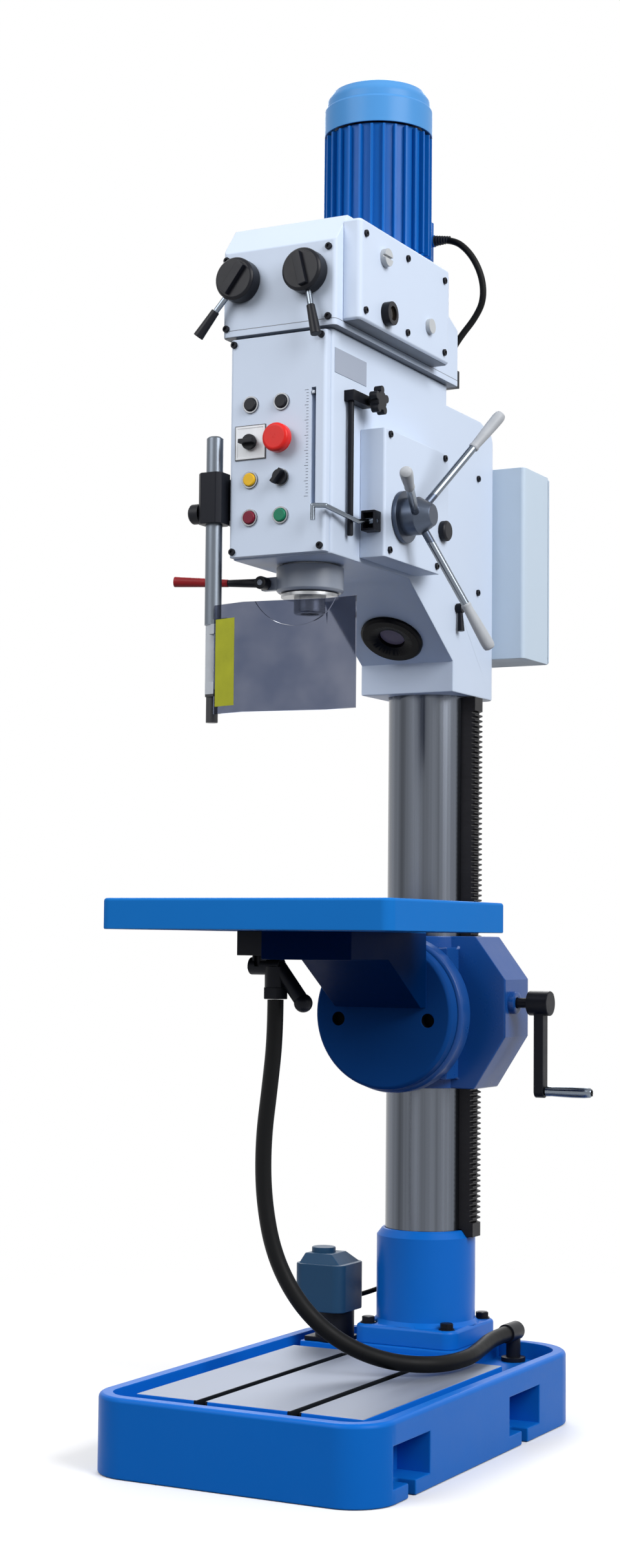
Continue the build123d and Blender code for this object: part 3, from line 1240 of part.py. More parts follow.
# Fittings on the base: hose elbow into the sump and the cable gland of the foot
fitting = rod_y(hose_in_x, hose_end_y + 1, hose_in_y + 14, elbow_mid, 17)
fitting = fitting + rod_z(hose_in_x, hose_in_y, gutter_z - 20, elbow_mid, hose_in_r)
fitting = fitting + rod_z(hose_in_x, hose_in_y, gutter_z, gutter_z + 8, 22)
fitting = fitting - rod_y(hose_in_x, hose_end_y, hose_in_y, elbow_mid, hose_bore_r)
foot_gland = rod_x(-foot_r + 8, gland_in - 2, gland_y, gland_z, gland_r)
save("base_fittings", Compound([fitting, foot_gland, cable_entry]))

# Coolant pump: round lower body, square motor and faceted cap
stem_top = face_z + 56
stem_x = pump_x + 12
body_h = 86.0
roof_h = 18.0
pump = rod_z(stem_x, pump_y, face_z, stem_top + 1, 36)
pump = pump + block(stem_x - 46, stem_x + 34, pump_y - 34, pump_y + 34, face_z, face_z + 9)
pump = pump + rod_z(stem_x, pump_y, hollow_top - 30, face_z + 1, pump_hole_r - 6)
pump = pump + Pos(pump_x, pump_y, stem_top) * extrude(RectangleRounded(pump_w, pump_w, 20), body_h)
eaves = Rectangle(pump_w - 16, pump_w - 16)
roof = loft([eaves, Pos(-8, 0, roof_h) * Rectangle(pump_w - 46, pump_w - 40)], ruled=True)
pump = pump + Pos(pump_x, pump_y, stem_top + body_h - 0.5) * roof
cap_z = stem_top + body_h + roof_h - 1
pump = pump + rod_z(pump_x - 12, pump_y, cap_z, cap_z + 10, 22)
save("coolant_pump", pump)
pump_cable_r = 4.5
pump_back = pump_y + pump_half
pump_cable_x = pump_x + 8
pump_cable_z = gland_z - 20
pump_cable_pts = [
    (pump_cable_x, pump_back, pump_cable_z), (pump_cable_x, pump_back + 30, pump_cable_z),
    (pump_cable_x + 20, gland_y - 6, gland_z - 14), (-foot_r - 26, gland_y, gland_z),
    (-foot_r + 8, gland_y, gland_z),
]
save("pump_cable", cord("pump_cable", pump_cable_pts, pump_cable_r))

# Screws: foot bolts, cover, panel, gear case and head screws
screws = []
for x, y in bolt_spots:
    screws.append(Pos(x, y, flange_top) * extrude(RegularPolygon(13, 6), 14))


def cap_x(x, y, z):
    screws.append(rod_x(x, x + 4, y, z, 6))


def cap_y(x, y, z):
    screws.append(rod_y(x, y - 4, y, z, 6))


for y in (-cover_front + 16, -(cover_front + cover_rear) / 2, -cover_rear - 26):
    cap_x(cover_x, y, cover_z1 - 24)
    cap_x(cover_x, y, cover_z0 + 18)
for x in (-half_gear + 8, half_gear - 14):
    cap_y(x, -gearbox_front, face_top - 12)
    cap_y(x, -gearbox_front, gear_low + 15)
for x in (-half_panel + 7, half_panel - 9):
    cap_y(x, panel_y, panel_low + 9)
    cap_y(x, panel_y, panel_high - 9)
case_screws = (
    (case_y0 + 17, case_z1 - 9), (case_y1 - 20, case_z1 - 9), (case_y0 + 17, case_z0 + 13),
    (case_y1 - 52, case_z0 + 13),
)
for y, z in case_screws:
    cap_x(case_x, y, z)
for z in (head_bottom + 15, head_top - 145):
    cap_x(half_head, 8, z)
save("machine_screws", Compound(screws))
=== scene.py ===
import math
import bmesh
import bpy
import numpy as np
from mathutils import Matrix, Vector


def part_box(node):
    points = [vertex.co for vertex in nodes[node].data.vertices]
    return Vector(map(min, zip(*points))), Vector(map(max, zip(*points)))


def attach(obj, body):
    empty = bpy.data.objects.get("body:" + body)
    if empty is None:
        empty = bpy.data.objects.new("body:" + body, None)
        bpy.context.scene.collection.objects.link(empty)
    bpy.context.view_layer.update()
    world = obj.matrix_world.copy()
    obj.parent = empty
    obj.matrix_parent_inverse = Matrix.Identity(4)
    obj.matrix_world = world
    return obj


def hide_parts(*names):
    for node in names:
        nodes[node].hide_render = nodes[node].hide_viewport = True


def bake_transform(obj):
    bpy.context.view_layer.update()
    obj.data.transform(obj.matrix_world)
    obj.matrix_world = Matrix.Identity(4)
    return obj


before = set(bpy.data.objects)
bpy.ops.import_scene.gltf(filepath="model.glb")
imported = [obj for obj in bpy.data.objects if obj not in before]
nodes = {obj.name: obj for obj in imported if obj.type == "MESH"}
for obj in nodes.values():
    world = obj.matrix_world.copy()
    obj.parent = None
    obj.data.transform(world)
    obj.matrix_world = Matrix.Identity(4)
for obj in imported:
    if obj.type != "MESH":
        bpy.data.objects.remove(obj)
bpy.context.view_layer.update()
scene = bpy.context.scene
print("frame loaded with", len(nodes), "nodes")

xWay, yWay, frontWay, upWay = (1, 0, 0), (0, 1, 0), (0, -1, 0), (0, 0, 1)
joinGap = dict(grid=2e-6, node=5e-6)  # points nearer than this become one


def unit(v):  # the vector at length one
    v = np.asarray(v, float)
    return v / np.linalg.norm(v)


def sideAxes(axis):  # two unit vectors square to a unit axis
    ref = np.array((0.0, 0.0, 1.0)) if abs(axis[2]) < 0.9 else np.array((1.0, 0.0, 0.0))
    e1 = unit(np.cross(ref, axis))
    return e1, np.cross(axis, e1)


def gridFaces(rows, cols):  # a quad between each four neighbours, the last column joined to the first
    i = np.arange(rows - 1)[:, None]
    j = np.arange(cols)[None, :]
    a = i * cols + j
    b = i * cols + (j + 1) % cols
    return np.stack([a, b, b + cols, a + cols], -1).reshape(-1, 4)


def gridPiece(name, grids):  # one mesh from several closed grids of points
    points, faces, base = [], [], 0
    for grid in grids:
        rows, cols = grid.shape[:2]
        points.append(grid.reshape(-1, 3))
        faces.append(gridFaces(rows, cols) + base)
        base += rows * cols
    mesh = bpy.data.meshes.new(name)
    mesh.from_pydata(np.concatenate(points).tolist(), [], np.concatenate(faces).tolist())
    bm = bmesh.new()
    bm.from_mesh(mesh)
    bmesh.ops.remove_doubles(bm, verts=bm.verts, dist=joinGap["grid"])
    bmesh.ops.recalc_face_normals(bm, faces=bm.faces)
    bm.to_mesh(mesh)
    bm.free()
    piece = bpy.data.objects.new(name, mesh)
    scene.collection.objects.link(piece)
    return piece


def turned(origin, axis, profile, steps=40, hexRows=()):
    # each (radius, height) of the profile is carried round the axis; a hex row follows a six-sided outline
    profile = np.asarray(profile, float)
    angle = np.linspace(0, 2 * np.pi, steps, endpoint=False)
    sixSided = 1 / np.cos((angle + np.pi / 6) % (np.pi / 3) - np.pi / 6)
    radius = np.repeat(profile[:, :1], steps, 1)
    for row in hexRows:
        radius[row] = radius[row] * sixSided
    axis = unit(axis)
    e1, e2 = sideAxes(axis)
    ring = np.cos(angle)[:, None] * e1 + np.sin(angle)[:, None] * e2
    return np.asarray(origin, float) + profile[:, 1][:, None, None] * axis + radius[:, :, None] * ring[None]


def boxGrid(low, high):
    # a ring of four corners carried from the low end to the high end, with both ends drawn to a point
    (x0, y0, z0), (x1, y1, z1) = low, high
    ring = np.array([(x0, y0), (x1, y0), (x1, y1), (x0, y1)])
    mid = np.repeat([[(x0 + x1) / 2, (y0 + y1) / 2]], 4, 0)
    rows = [(mid, z0), (ring, z0), (ring, z1), (mid, z1)]
    return np.stack([np.column_stack([xy, np.full(4, z)]) for xy, z in rows])


def splineLine(points, density=14):  # samples along a smooth spline with these control points
    curve = bpy.data.curves.new("route", "CURVE")
    curve.dimensions = "3D"
    spline = curve.splines.new("NURBS")
    spline.points.add(len(points) - 1)
    spline.points.foreach_set("co", np.column_stack([points, np.ones(len(points))]).ravel())
    spline.order_u = 3
    spline.use_endpoint_u = True
    spline.resolution_u = density
    carrier = bpy.data.objects.new("route", curve)
    scene.collection.objects.link(carrier)
    bpy.context.view_layer.update()
    line = bpy.data.meshes.new_from_object(carrier)
    found = np.empty(len(line.vertices) * 3)
    line.vertices.foreach_get("co", found)
    bpy.data.objects.remove(carrier)
    bpy.data.curves.remove(curve)
    bpy.data.meshes.remove(line)
    return found.reshape(-1, 3)


def tubeGrid(path, radius, sides=28):  # a circle carried along the path, square to it, with closed ends
    along = np.gradient(path, axis=0)
    along /= np.linalg.norm(along, axis=1)[:, None]
    aside = unit((0.7, -0.7, 0.1))  # no route runs this way
    e1 = np.cross(along, aside)
    e1 /= np.linalg.norm(e1, axis=1)[:, None]
    e2 = np.cross(along, e1)
    angle = np.linspace(0, 2 * np.pi, sides, endpoint=False)[None, :, None]
    ring = path[:, None] + radius * (np.cos(angle) * e1[:, None] + np.sin(angle) * e2[:, None])
    ends = np.repeat(path[[0, -1], None], sides, 1)
    return np.concatenate([ends[:1], ring, ends[1:]])


def pathLength(path):  # the steps between the points, added up
    return float(np.linalg.norm(np.diff(path, axis=0), axis=1).sum())


def boxOf(name):  # a node's lowest and highest corners
    low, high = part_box(name)
    return np.array(low), np.array(high)


# Shader nodes
def feed(tree, target, source):  # a link where the source is a socket, a fixed value otherwise
    if hasattr(source, "is_output"):
        tree.links.new(source, target)
    else:
        target.default_value = source


def addNode(tree, kind, links=(), **values):  # a node with its settings and (input, source) pairs
    node = tree.nodes.new(kind)
    for key, value in values.items():
        setattr(node, key, value)
    for target, source in links:
        feed(tree, node.inputs[target], source)
    return node


def objectPlace(tree):
    return addNode(tree, "ShaderNodeTexCoord").outputs["Object"]


def mathNode(tree, operation, a, b=0.0, c=0.0):
    return addNode(tree, "ShaderNodeMath", [(0, a), (1, b), (2, c)], operation=operation).outputs[0]


def vectorNode(tree, operation, *values):
    node = addNode(tree, "ShaderNodeVectorMath", enumerate(values), operation=operation)
    return node.outputs["Value" if operation == "LENGTH" else "Vector"]


def noiseNode(tree, vector, scale, detail, rough):
    links = [("Vector", vector), ("Scale", scale), ("Detail", detail), ("Roughness", rough)]
    return addNode(tree, "ShaderNodeTexNoise", links).outputs["Fac"]


def rangeNode(tree, value, fromLow, fromHigh, toLow=0.0, toHigh=1.0, **settings):
    links = [(0, value), (1, fromLow), (2, fromHigh), (3, toLow), (4, toHigh)]
    return addNode(tree, "ShaderNodeMapRange", links, **settings).outputs[0]


def mixValue(tree, share, a, b):
    return addNode(tree, "ShaderNodeMix", [(0, share), (2, a), (3, b)]).outputs[0]


def mixColour(tree, share, a, b, kind="MIX"):
    links = [(0, share), (6, a), (7, b)]
    return addNode(tree, "ShaderNodeMix", links, data_type="RGBA", blend_type=kind).outputs[2]


def varied(tree, noise, depth, middle):  # the noise about its mean, times a depth, added to a middle value
    return mathNode(tree, "MULTIPLY_ADD", mathNode(tree, "SUBTRACT", noise, 0.5), depth, middle)


def scaledColour(tree, colour, factor):  # the colour times a grey factor
    grey = addNode(tree, "ShaderNodeCombineColor", [(0, factor), (1, factor), (2, factor)]).outputs[0]
    return mixColour(tree, 1.0, colour, grey, "MULTIPLY")


# Shader node groups shared by the finishes; a noise is (scale, detail, roughness)
floatKind, colourKind, vectorKind = "NodeSocketFloat", "NodeSocketColor", "NodeSocketVector"
lookInputs = [("Color", colourKind, (0.5, 0.5, 0.5, 1)), ("Rough", floatKind, 0.4)]
lookOutputs = [("Color", colourKind), ("Rough", floatKind), ("Height", floatKind)]
enamelDetail = dict(slow=(3.2, 4.0, 0.6), smear=(21.0, 5.0, 0.65), smearDepth=0.22,
                    peel=(420.0, 1.5, 0.4), wave=(36.0, 2.0, 0.5), waveShare=1.6)
steelDetail = dict(lines=(1.0, 3.0, 0.6), broad=(0.12, 2.0, 0.5), roughDepth=0.16)
mouldDetail = dict(handled=(34.0, 3.0, 0.6), colourDepth=0.3, roughDepth=0.2, grain=(2.0, 0.5))


def newGroup(name, inputs, outputs):
    group = bpy.data.node_groups.new(name, "ShaderNodeTree")
    for label, kind, value in inputs:
        socket = group.interface.new_socket(label, in_out="INPUT", socket_type=kind)
        socket.default_value = value
    for label, kind in outputs:
        group.interface.new_socket(label, in_out="OUTPUT", socket_type=kind)
    given, out = group.nodes.new("NodeGroupInput"), group.nodes.new("NodeGroupOutput")
    return group, given.outputs, out.inputs


def enamelGroup():  # sprayed enamel: slow colour drift, uneven shine, fine orange peel over broader waves
    group, given, out = newGroup("enamelLook", [*lookInputs, ("Drift", floatKind, 0.08)], lookOutputs)
    place = objectPlace(group)
    cloud = varied(group, noiseNode(group, place, *enamelDetail["slow"]), given["Drift"], 1.0)
    feed(group, out["Color"], scaledColour(group, given["Color"], cloud))
    smear = noiseNode(group, place, *enamelDetail["smear"])
    feed(group, out["Rough"], varied(group, smear, enamelDetail["smearDepth"], given["Rough"]))
    peel = noiseNode(group, place, *enamelDetail["peel"])
    wave = noiseNode(group, place, *enamelDetail["wave"])
    feed(group, out["Height"], mathNode(group, "MULTIPLY_ADD", wave, enamelDetail["waveShare"], peel))
    return group


def steelGroup():  # ground steel: fine lines along one direction, with slow bright and dull stripes of tone; turned up high, as on the column, the stripes are painted reflections
    own = [("Lines", vectorKind, (300, 300, 4)), ("Depth", floatKind, 0.25), ("ToneAndReflectionBands", floatKind, 1.0)]
    group, given, out = newGroup("steelLook", [*lookInputs, *own], lookOutputs)
    drawn = vectorNode(group, "MULTIPLY", objectPlace(group), given["Lines"])
    lines = noiseNode(group, drawn, *steelDetail["lines"])
    broad = noiseNode(group, drawn, *steelDetail["broad"])
    swell = mathNode(group, "MULTIPLY", mathNode(group, "SUBTRACT", broad, 0.5), given["ToneAndReflectionBands"])
    both = mathNode(group, "ADD", mathNode(group, "SUBTRACT", lines, 0.5), swell)
    shade = mathNode(group, "MULTIPLY_ADD", both, given["Depth"], 1.0)
    feed(group, out["Color"], scaledColour(group, given["Color"], shade))
    dull = mathNode(group, "MULTIPLY_ADD", both, steelDetail["roughDepth"], given["Rough"])
    feed(group, out["Rough"], dull)
    feed(group, out["Height"], lines)
    return group


def mouldGroup():  # moulded plastic or rubber: even colour, handled shine, fine grain
    group, given, out = newGroup("mouldLook", [*lookInputs, ("Grain", floatKind, 900.0)], lookOutputs)
    place = objectPlace(group)
    handled = noiseNode(group, place, *mouldDetail["handled"])
    shade = varied(group, handled, mouldDetail["colourDepth"], 1.0)
    feed(group, out["Color"], scaledColour(group, given["Color"], shade))
    feed(group, out["Rough"], varied(group, handled, mouldDetail["roughDepth"], given["Rough"]))
    feed(group, out["Height"], noiseNode(group, place, given["Grain"], *mouldDetail["grain"]))
    return group


def boxMaskGroup():  # one inside a box of object coordinates, nought outside
    corners = [("Low", vectorKind, (0, 0, 0)), ("High", vectorKind, (0, 0, 0))]
    group, given, out = newGroup("boxMask", corners, [("Mask", floatKind)])
    place = objectPlace(group)
    over = vectorNode(group, "SUBTRACT", place, given["Low"])
    under = vectorNode(group, "SUBTRACT", given["High"], place)
    mask = 1.0
    for side in (over, under):
        for part in addNode(group, "ShaderNodeSeparateXYZ", [(0, side)]).outputs:
            mask = mathNode(group, "MULTIPLY", mathNode(group, "GREATER_THAN", part, 0.0), mask)
    feed(group, out["Mask"], mask)
    return group


def ringMaskGroup():  # one between two distances from an axis, nought elsewhere
    place = [("Centre", vectorKind, (0, 0, 0)), ("Axis", vectorKind, (0, 0, 1))]
    reach = [("Inner", floatKind, 0.0), ("Outer", floatKind, 0.1)]
    group, given, out = newGroup("ringMask", place + reach, [("Mask", floatKind)])
    away = vectorNode(group, "SUBTRACT", objectPlace(group), given["Centre"])
    far = vectorNode(group, "LENGTH", vectorNode(group, "CROSS_PRODUCT", away, given["Axis"]))
    outside = mathNode(group, "GREATER_THAN", far, given["Inner"])
    inside = mathNode(group, "LESS_THAN", far, given["Outer"])
    feed(group, out["Mask"], mathNode(group, "MULTIPLY", outside, inside))
    return group


looks = {"enamel": enamelGroup(), "steel": steelGroup(), "mould": mouldGroup()}
masks = {"box": boxMaskGroup(), "ring": ringMaskGroup()}


def groupNode(tree, group, values):
    return addNode(tree, "ShaderNodeGroup", values.items(), node_tree=group).outputs


def finish(name, look, values, metal=0.0, bump=0.1, bumpDepth=0.0004, layers=(), **shader):
    # a base look with further looks laid over it where a mask is one
    # a layer is (mask, its values, look, its values, metal)
    material = bpy.data.materials.new(name)
    material.use_nodes = True
    tree = material.node_tree
    bsdf = tree.nodes["Principled BSDF"]
    base = groupNode(tree, looks[look], values)
    colour, rough, height = base["Color"], base["Rough"], base["Height"]
    metalness = metal
    for maskKind, maskValues, overLook, overValues, overMetal in layers:
        mask = groupNode(tree, masks[maskKind], maskValues)["Mask"]
        over = groupNode(tree, looks[overLook], overValues)
        colour = mixColour(tree, mask, colour, over["Color"])
        rough = mixValue(tree, mask, rough, over["Rough"])
        height = mixValue(tree, mask, height, over["Height"])
        if overMetal != metal:
            metalness = mixValue(tree, mask, metalness, overMetal)
    dent = addNode(tree, "ShaderNodeBump", [("Strength", bump), ("Distance", bumpDepth), ("Height", height)])
    feed(tree, bsdf.inputs["Base Color"], colour)
    feed(tree, bsdf.inputs["Roughness"], rough)
    feed(tree, bsdf.inputs["Metallic"], metalness)
    feed(tree, bsdf.inputs["Normal"], dent.outputs[0])
    for key, value in shader.items():
        bsdf.inputs[key.replace("_", " ")].default_value = value
    return material


def rgb(r, g, b):  # display colour 0 to 255 as the linear value that the shader takes
    part = np.array((r, g, b)) / 255
    line = np.where(part < 0.04045, part / 12.92, ((part + 0.055) / 1.055) ** 2.4)
    return (*line.tolist(), 1.0)


# Machine finishes
tone = dict(
    # the bracket blue and the shade blue are painted shade: darker blues for the shade under the table
    castBlue=rgb(12, 104, 198), tableBlue=rgb(28, 116, 200), bracketShadeBlue=rgb(20, 72, 142),
    shadeBlue=rgb(0, 38, 88), motorBlue=rgb(10, 92, 172), cowlBlue=rgb(76, 142, 204),
    # the grey for the gearbox and side-cover undersides is painted shade
    headWhite=rgb(203, 216, 236), cabinetGrey=rgb(196, 212, 228), underShadeGrey=rgb(112, 118, 128),
    plateGrey=rgb(160, 169, 186), collarGrey=rgb(140, 148, 162), paleGrey=rgb(192, 198, 207),
    bareSteel=rgb(100, 105, 114), darkSteel=rgb(38, 38, 41), spindle=rgb(150, 152, 155),
    quill=rgb(116, 121, 129), gear=rgb(150, 150, 152), post=rgb(104, 111, 120), chrome=rgb(116, 124, 134),
    machined=rgb(136, 143, 158), satin=rgb(78, 86, 100), bezel=rgb(118, 120, 124), fitting=rgb(186, 190, 194),
    # the near-black darkens the base's slots, and inside the tilt disc's holes it is painted shade
    pumpTeal=rgb(34, 68, 98), slotDarkAndHoleShade=rgb(16, 20, 26), black=rgb(20, 22, 29), hoseBlack=rgb(8, 9, 11),
    # the dark grey edging the selector's white square is painted shade
    lampBlack=rgb(10, 10, 14), plateEdgeShade=rgb(58, 60, 66), plateWhite=rgb(226, 230, 236),
    red=rgb(214, 38, 34), leverRed=rgb(158, 34, 40), darkRed=rgb(112, 20, 44), yellow=rgb(226, 180, 40),
    stripYellow=rgb(172, 176, 48), green=rgb(24, 118, 88), grip=rgb(172, 176, 182), lens=rgb(126, 116, 134),
    glassDark=rgb(30, 26, 22), sheetDark=rgb(90, 98, 120), sheetLight=rgb(116, 121, 138),
)
print("finishes being mixed")


def enamel(name, colour, rough=0.36, drift=0.10, layers=(), gloss=0.15):
    values = {"Color": colour, "Rough": rough, "Drift": drift}
    return finish(name, "enamel", values, bump=0.12, layers=layers, Specular_IOR_Level=gloss)


def steel(name, colour, rough, lines, depth=0.3, layers=(), toneAndReflectionBands=1.0):
    values = {"Color": colour, "Rough": rough, "Lines": lines, "Depth": depth, "ToneAndReflectionBands": toneAndReflectionBands}
    return finish(name, "steel", values, metal=1.0, bump=0.08, bumpDepth=0.0002, layers=layers)


def moulded(name, colour, rough=0.42, grain=900.0, layers=(), gloss=0.18):
    values = {"Color": colour, "Rough": rough, "Grain": grain}
    return finish(name, "mould", values, bump=0.1, bumpDepth=0.0003, layers=layers, Specular_IOR_Level=gloss)


def inBox(low, high):
    return "box", {"Low": low, "High": high}


def inRing(centre, axis, outer, inner=-1.0):  # a whole disc where inner is below nought
    return "ring", {"Centre": centre, "Axis": axis, "Inner": inner, "Outer": outer}


def steelLayer(mask, colour, rough, lines, depth=0.3, metal=1.0):
    return (*mask, "steel", {"Color": colour, "Rough": rough, "Lines": lines, "Depth": depth}, metal)


def enamelLayer(mask, colour, rough=0.38, drift=0.05):
    return (*mask, "enamel", {"Color": colour, "Rough": rough, "Drift": drift}, 0.0)


def mouldLayer(mask, colour, rough=0.42):
    return (*mask, "mould", {"Color": colour, "Rough": rough}, 0.0)


def milledLayer(low, high, depth):  # cutter lines across a flat face
    face = inBox(low, high)
    return steelLayer(face, tone["machined"], rough=0.5, lines=(160, 8, 160), depth=depth, metal=0.55)


# Base: milled face and dark slots inside the blue casting
baseFace = dict(half=0.2073, front=-0.6625, rear=-0.1248, low=0.1203, high=0.1216, depth=0.22)
baseSlot = dict(x=0.085, half=0.0125, front=-0.6645, low=0.09, high=0.1206)
baseLayers = [
    milledLayer((-baseFace["half"], baseFace["front"], baseFace["low"]),
                (baseFace["half"], baseFace["rear"], baseFace["high"]), baseFace["depth"])
]
for x in (-baseSlot["x"], baseSlot["x"]):
    slotZone = inBox((x - baseSlot["half"], baseSlot["front"], baseSlot["low"]),
                     (x + baseSlot["half"], baseFace["rear"], baseSlot["high"]))
    baseLayers.append(mouldLayer(slotZone, tone["slotDarkAndHoleShade"], rough=0.6))
baseBlue = enamel("baseEnamel", tone["castBlue"], 0.34, 0.12, baseLayers, gloss=0.08)
castBlue = enamel("castEnamel", tone["castBlue"], 0.34, 0.12)
# painted shade: the bracket, and below the table the arm, take a darker blue than the base's paint
bracketShadeBlue = enamel("bracketShadeEnamel", tone["bracketShadeBlue"], 0.3, 0.12, gloss=0.26)

# Table: milled face inside the rim, painted shade as darker blues on the arm and the web below, painted shade
# in the tilt disc's holes
tableFace = dict(inset=0.036, skin=0.0012, rear=-0.251, depth=0.2)
armShadeBox = dict(low=(-0.3, -0.8, 0.5), high=(0.3, 0.1, 0.8695))
webShadeBox = dict(low=(-0.1, -0.6, 0.7), high=(0.1, -0.1885, 0.8695))
tiltHoleShade = dict(x=0.088, z=0.716, radius=0.0123)
tableLow, tableHigh = boxOf("work_table")
inset, skin = tableFace["inset"], tableFace["skin"]
tableLayers = [
    milledLayer((tableLow[0] + inset, tableLow[1] + inset, tableHigh[2] - skin),
                (tableHigh[0] - inset, tableFace["rear"] - inset, tableHigh[2] + skin), tableFace["depth"]),
    # painted shade under the table plate, darkest on the web
    enamelLayer(inBox(**armShadeBox), tone["bracketShadeBlue"], 0.34, 0.12),
    enamelLayer(inBox(**webShadeBox), tone["shadeBlue"], 0.4, 0.12),
]
# painted shade inside the tilt disc's two holes
for x in (-tiltHoleShade["x"], tiltHoleShade["x"]):
    holeShadeZone = inRing((x, 0, tiltHoleShade["z"]), yWay, tiltHoleShade["radius"])
    tableLayers.append(mouldLayer(holeShadeZone, tone["slotDarkAndHoleShade"]))
tableBlue = enamel("tableEnamel", tone["tableBlue"], 0.34, 0.12, tableLayers, gloss=0.012)

# Motor, head, gearbox and cabinet paint, with painted shade on the undersides of the gearbox and its side
# cover
motorBlue = enamel("motorEnamel", tone["motorBlue"], 0.36, 0.12)
cowlBlue = enamel("cowlEnamel", tone["cowlBlue"], 0.33, 0.08)
headWhite = enamel("headEnamel", tone["headWhite"], 0.38, 0.05)
# painted shade: grey on the undersides of the gearbox and of its side cover
gearboxUnderShade = dict(heights=(1.857, 1.868), half=0.0006, side=0.2, front=-0.7)
underShadeLayers = []
for z in gearboxUnderShade["heights"]:
    underShadeZone = inBox((-gearboxUnderShade["side"], gearboxUnderShade["front"], z - gearboxUnderShade["half"]),
                      (gearboxUnderShade["side"], 0.0, z + gearboxUnderShade["half"]))
    underShadeLayers.append(enamelLayer(underShadeZone, tone["underShadeGrey"]))
gearboxWhite = enamel("gearboxEnamel", tone["headWhite"], 0.38, 0.05, underShadeLayers)
cabinetGrey = enamel("cabinetPowder", tone["cabinetGrey"], 0.46, 0.04)

# Steels, with a painted collar on the quill and a satin hub on the feed handle
quillCollar = dict(low=(-0.1, -0.6, 1.40), high=(0.1, -0.2, 1.4805))
feedHub = dict(centre=(0, -0.410, 1.567), radius=0.046)
# the column's strong bright and dull stripes along its length are painted reflections
columnSteel = steel("columnGround", tone["bareSteel"], 0.24, (240, 240, 0.5), 0.5, toneAndReflectionBands=4.6)
rackSteel = steel("rackOiled", tone["darkSteel"], 0.42, (60, 200, 200), 0.4)
spindleSteel = steel("spindleGround", tone["spindle"], 0.28, (40, 40, 400), 0.25)
quillSteel = steel("quillGround", tone["quill"], 0.3, (40, 40, 400), 0.25, [
    enamelLayer(inBox(**quillCollar), tone["collarGrey"])
])
gearSteel = steel("gearCut", tone["gear"], 0.36, (200, 200, 30), 0.3)
chrome = steel("chromeRod", tone["chrome"], 0.22, (120, 120, 120), 0.08)
hubZone = inRing(feedHub["centre"], xWay, feedHub["radius"])
feedSteel = steel("feedChrome", tone["chrome"], 0.22, (120, 120, 120), 0.08, [
    steelLayer(hubZone, tone["satin"], 0.36, (40, 200, 200), 0.15)
])

# Bezels: satin rings, and the selector's white square with a dark border drawn all round as painted shade of
# the plate's edge
plateSpot = dict(x=-0.050, z=1.676, front=-0.70, rear=-0.50, outer=0.0300, inner=0.0274)


def plateZone(half):
    return inBox((plateSpot["x"] - half, plateSpot["front"], plateSpot["z"] - half),
                 (plateSpot["x"] + half, plateSpot["rear"], plateSpot["z"] + half))


bezelSatin = steel("bezelSatin", tone["bezel"], 0.34, (120, 120, 120), 0.15, [
    # painted shade round the selector's plate
    mouldLayer(plateZone(plateSpot["outer"]), tone["plateEdgeShade"], 0.4),
    mouldLayer(plateZone(plateSpot["inner"]), tone["plateWhite"], 0.34),
])

# Oil fittings: pale plugs, and a sight glass in a black ring
oilSight = dict(centre=(0, -0.478, 1.898), glass=0.0124, ring=0.022)
oilLook = enamel("oilFittings", tone["fitting"], 0.36, 0.06, [
    mouldLayer(inRing(oilSight["centre"], xWay, oilSight["ring"]), tone["black"], 0.3),
    mouldLayer(inRing(oilSight["centre"], xWay, oilSight["glass"]), tone["glassDark"], 0.08),
])

# Blackened metal, rubber and plastics
oxideLook = {"Color": tone["black"], "Rough": 0.42, "Grain": 600.0}
rubberLook = {"Color": tone["hoseBlack"], "Rough": 0.5, "Grain": 500.0}
blackOxide = finish("blackOxide", "mould", oxideLook, metal=0.3, Specular_IOR_Level=0.15)
hoseRubber = finish("hoseRubber", "mould", rubberLook, Specular_IOR_Level=0.14)
blackPlastic = moulded("blackMoulding", tone["black"], 0.4)
gripGrey = moulded("gripMoulding", tone["grip"], 0.38)
redCap = moulded("stopRed", tone["red"], 0.3)
darkRedCap = moulded("offRed", tone["darkRed"], 0.3)
yellowCap = moulded("coolantYellow", tone["yellow"], 0.32)
greenCap = moulded("startGreen", tone["green"], 0.32)

# Guard post: a pale sleeve and a black foot below the bare rod
postZones = dict(low=(-0.2, -0.7, 1.2), sleeve=(0, -0.5, 1.3745), foot=(0, -0.5, 1.2585))
postSteel = steel("postSteel", tone["post"], 0.34, (200, 200, 6), 0.3, [
    mouldLayer(inBox(postZones["low"], postZones["sleeve"]), tone["paleGrey"]),
    mouldLayer(inBox(postZones["low"], postZones["foot"]), tone["black"]),
])

# Coolant pump with a black skirt, collar lever with a black rod, work lamp with a pale lens
pumpSkirt = dict(low=(-0.3, -0.2, 0), high=(0, 0.2, 0.1765))
pumpPaint = enamel("pumpEnamel", tone["pumpTeal"], 0.42, 0.25, [
    mouldLayer(inBox(**pumpSkirt), tone["black"])
])
collarRod = dict(low=(-0.1235, -0.7, 1), high=(0, 0, 2))
collarPaint = moulded("collarGrip", tone["leverRed"], 0.34, layers=[
    mouldLayer(inBox(**collarRod), tone["black"])
])
lampLens = dict(centre=(0, -0.15938, 1.40092), axis=(0, -0.5547, -0.83205), outer=0.0237)
lampLook = moulded("lampBezel", tone["lampBlack"], 0.3, layers=[
    mouldLayer(inRing(**lampLens), tone["lens"], 0.2)
], gloss=0.06)

# Shift levers: black knob and grip with a bright rod between them
shiftKnob = dict(left=-0.07, right=0.056, front=-0.61, height=1.948, rodFrom=0.0365, rodTo=0.0622)


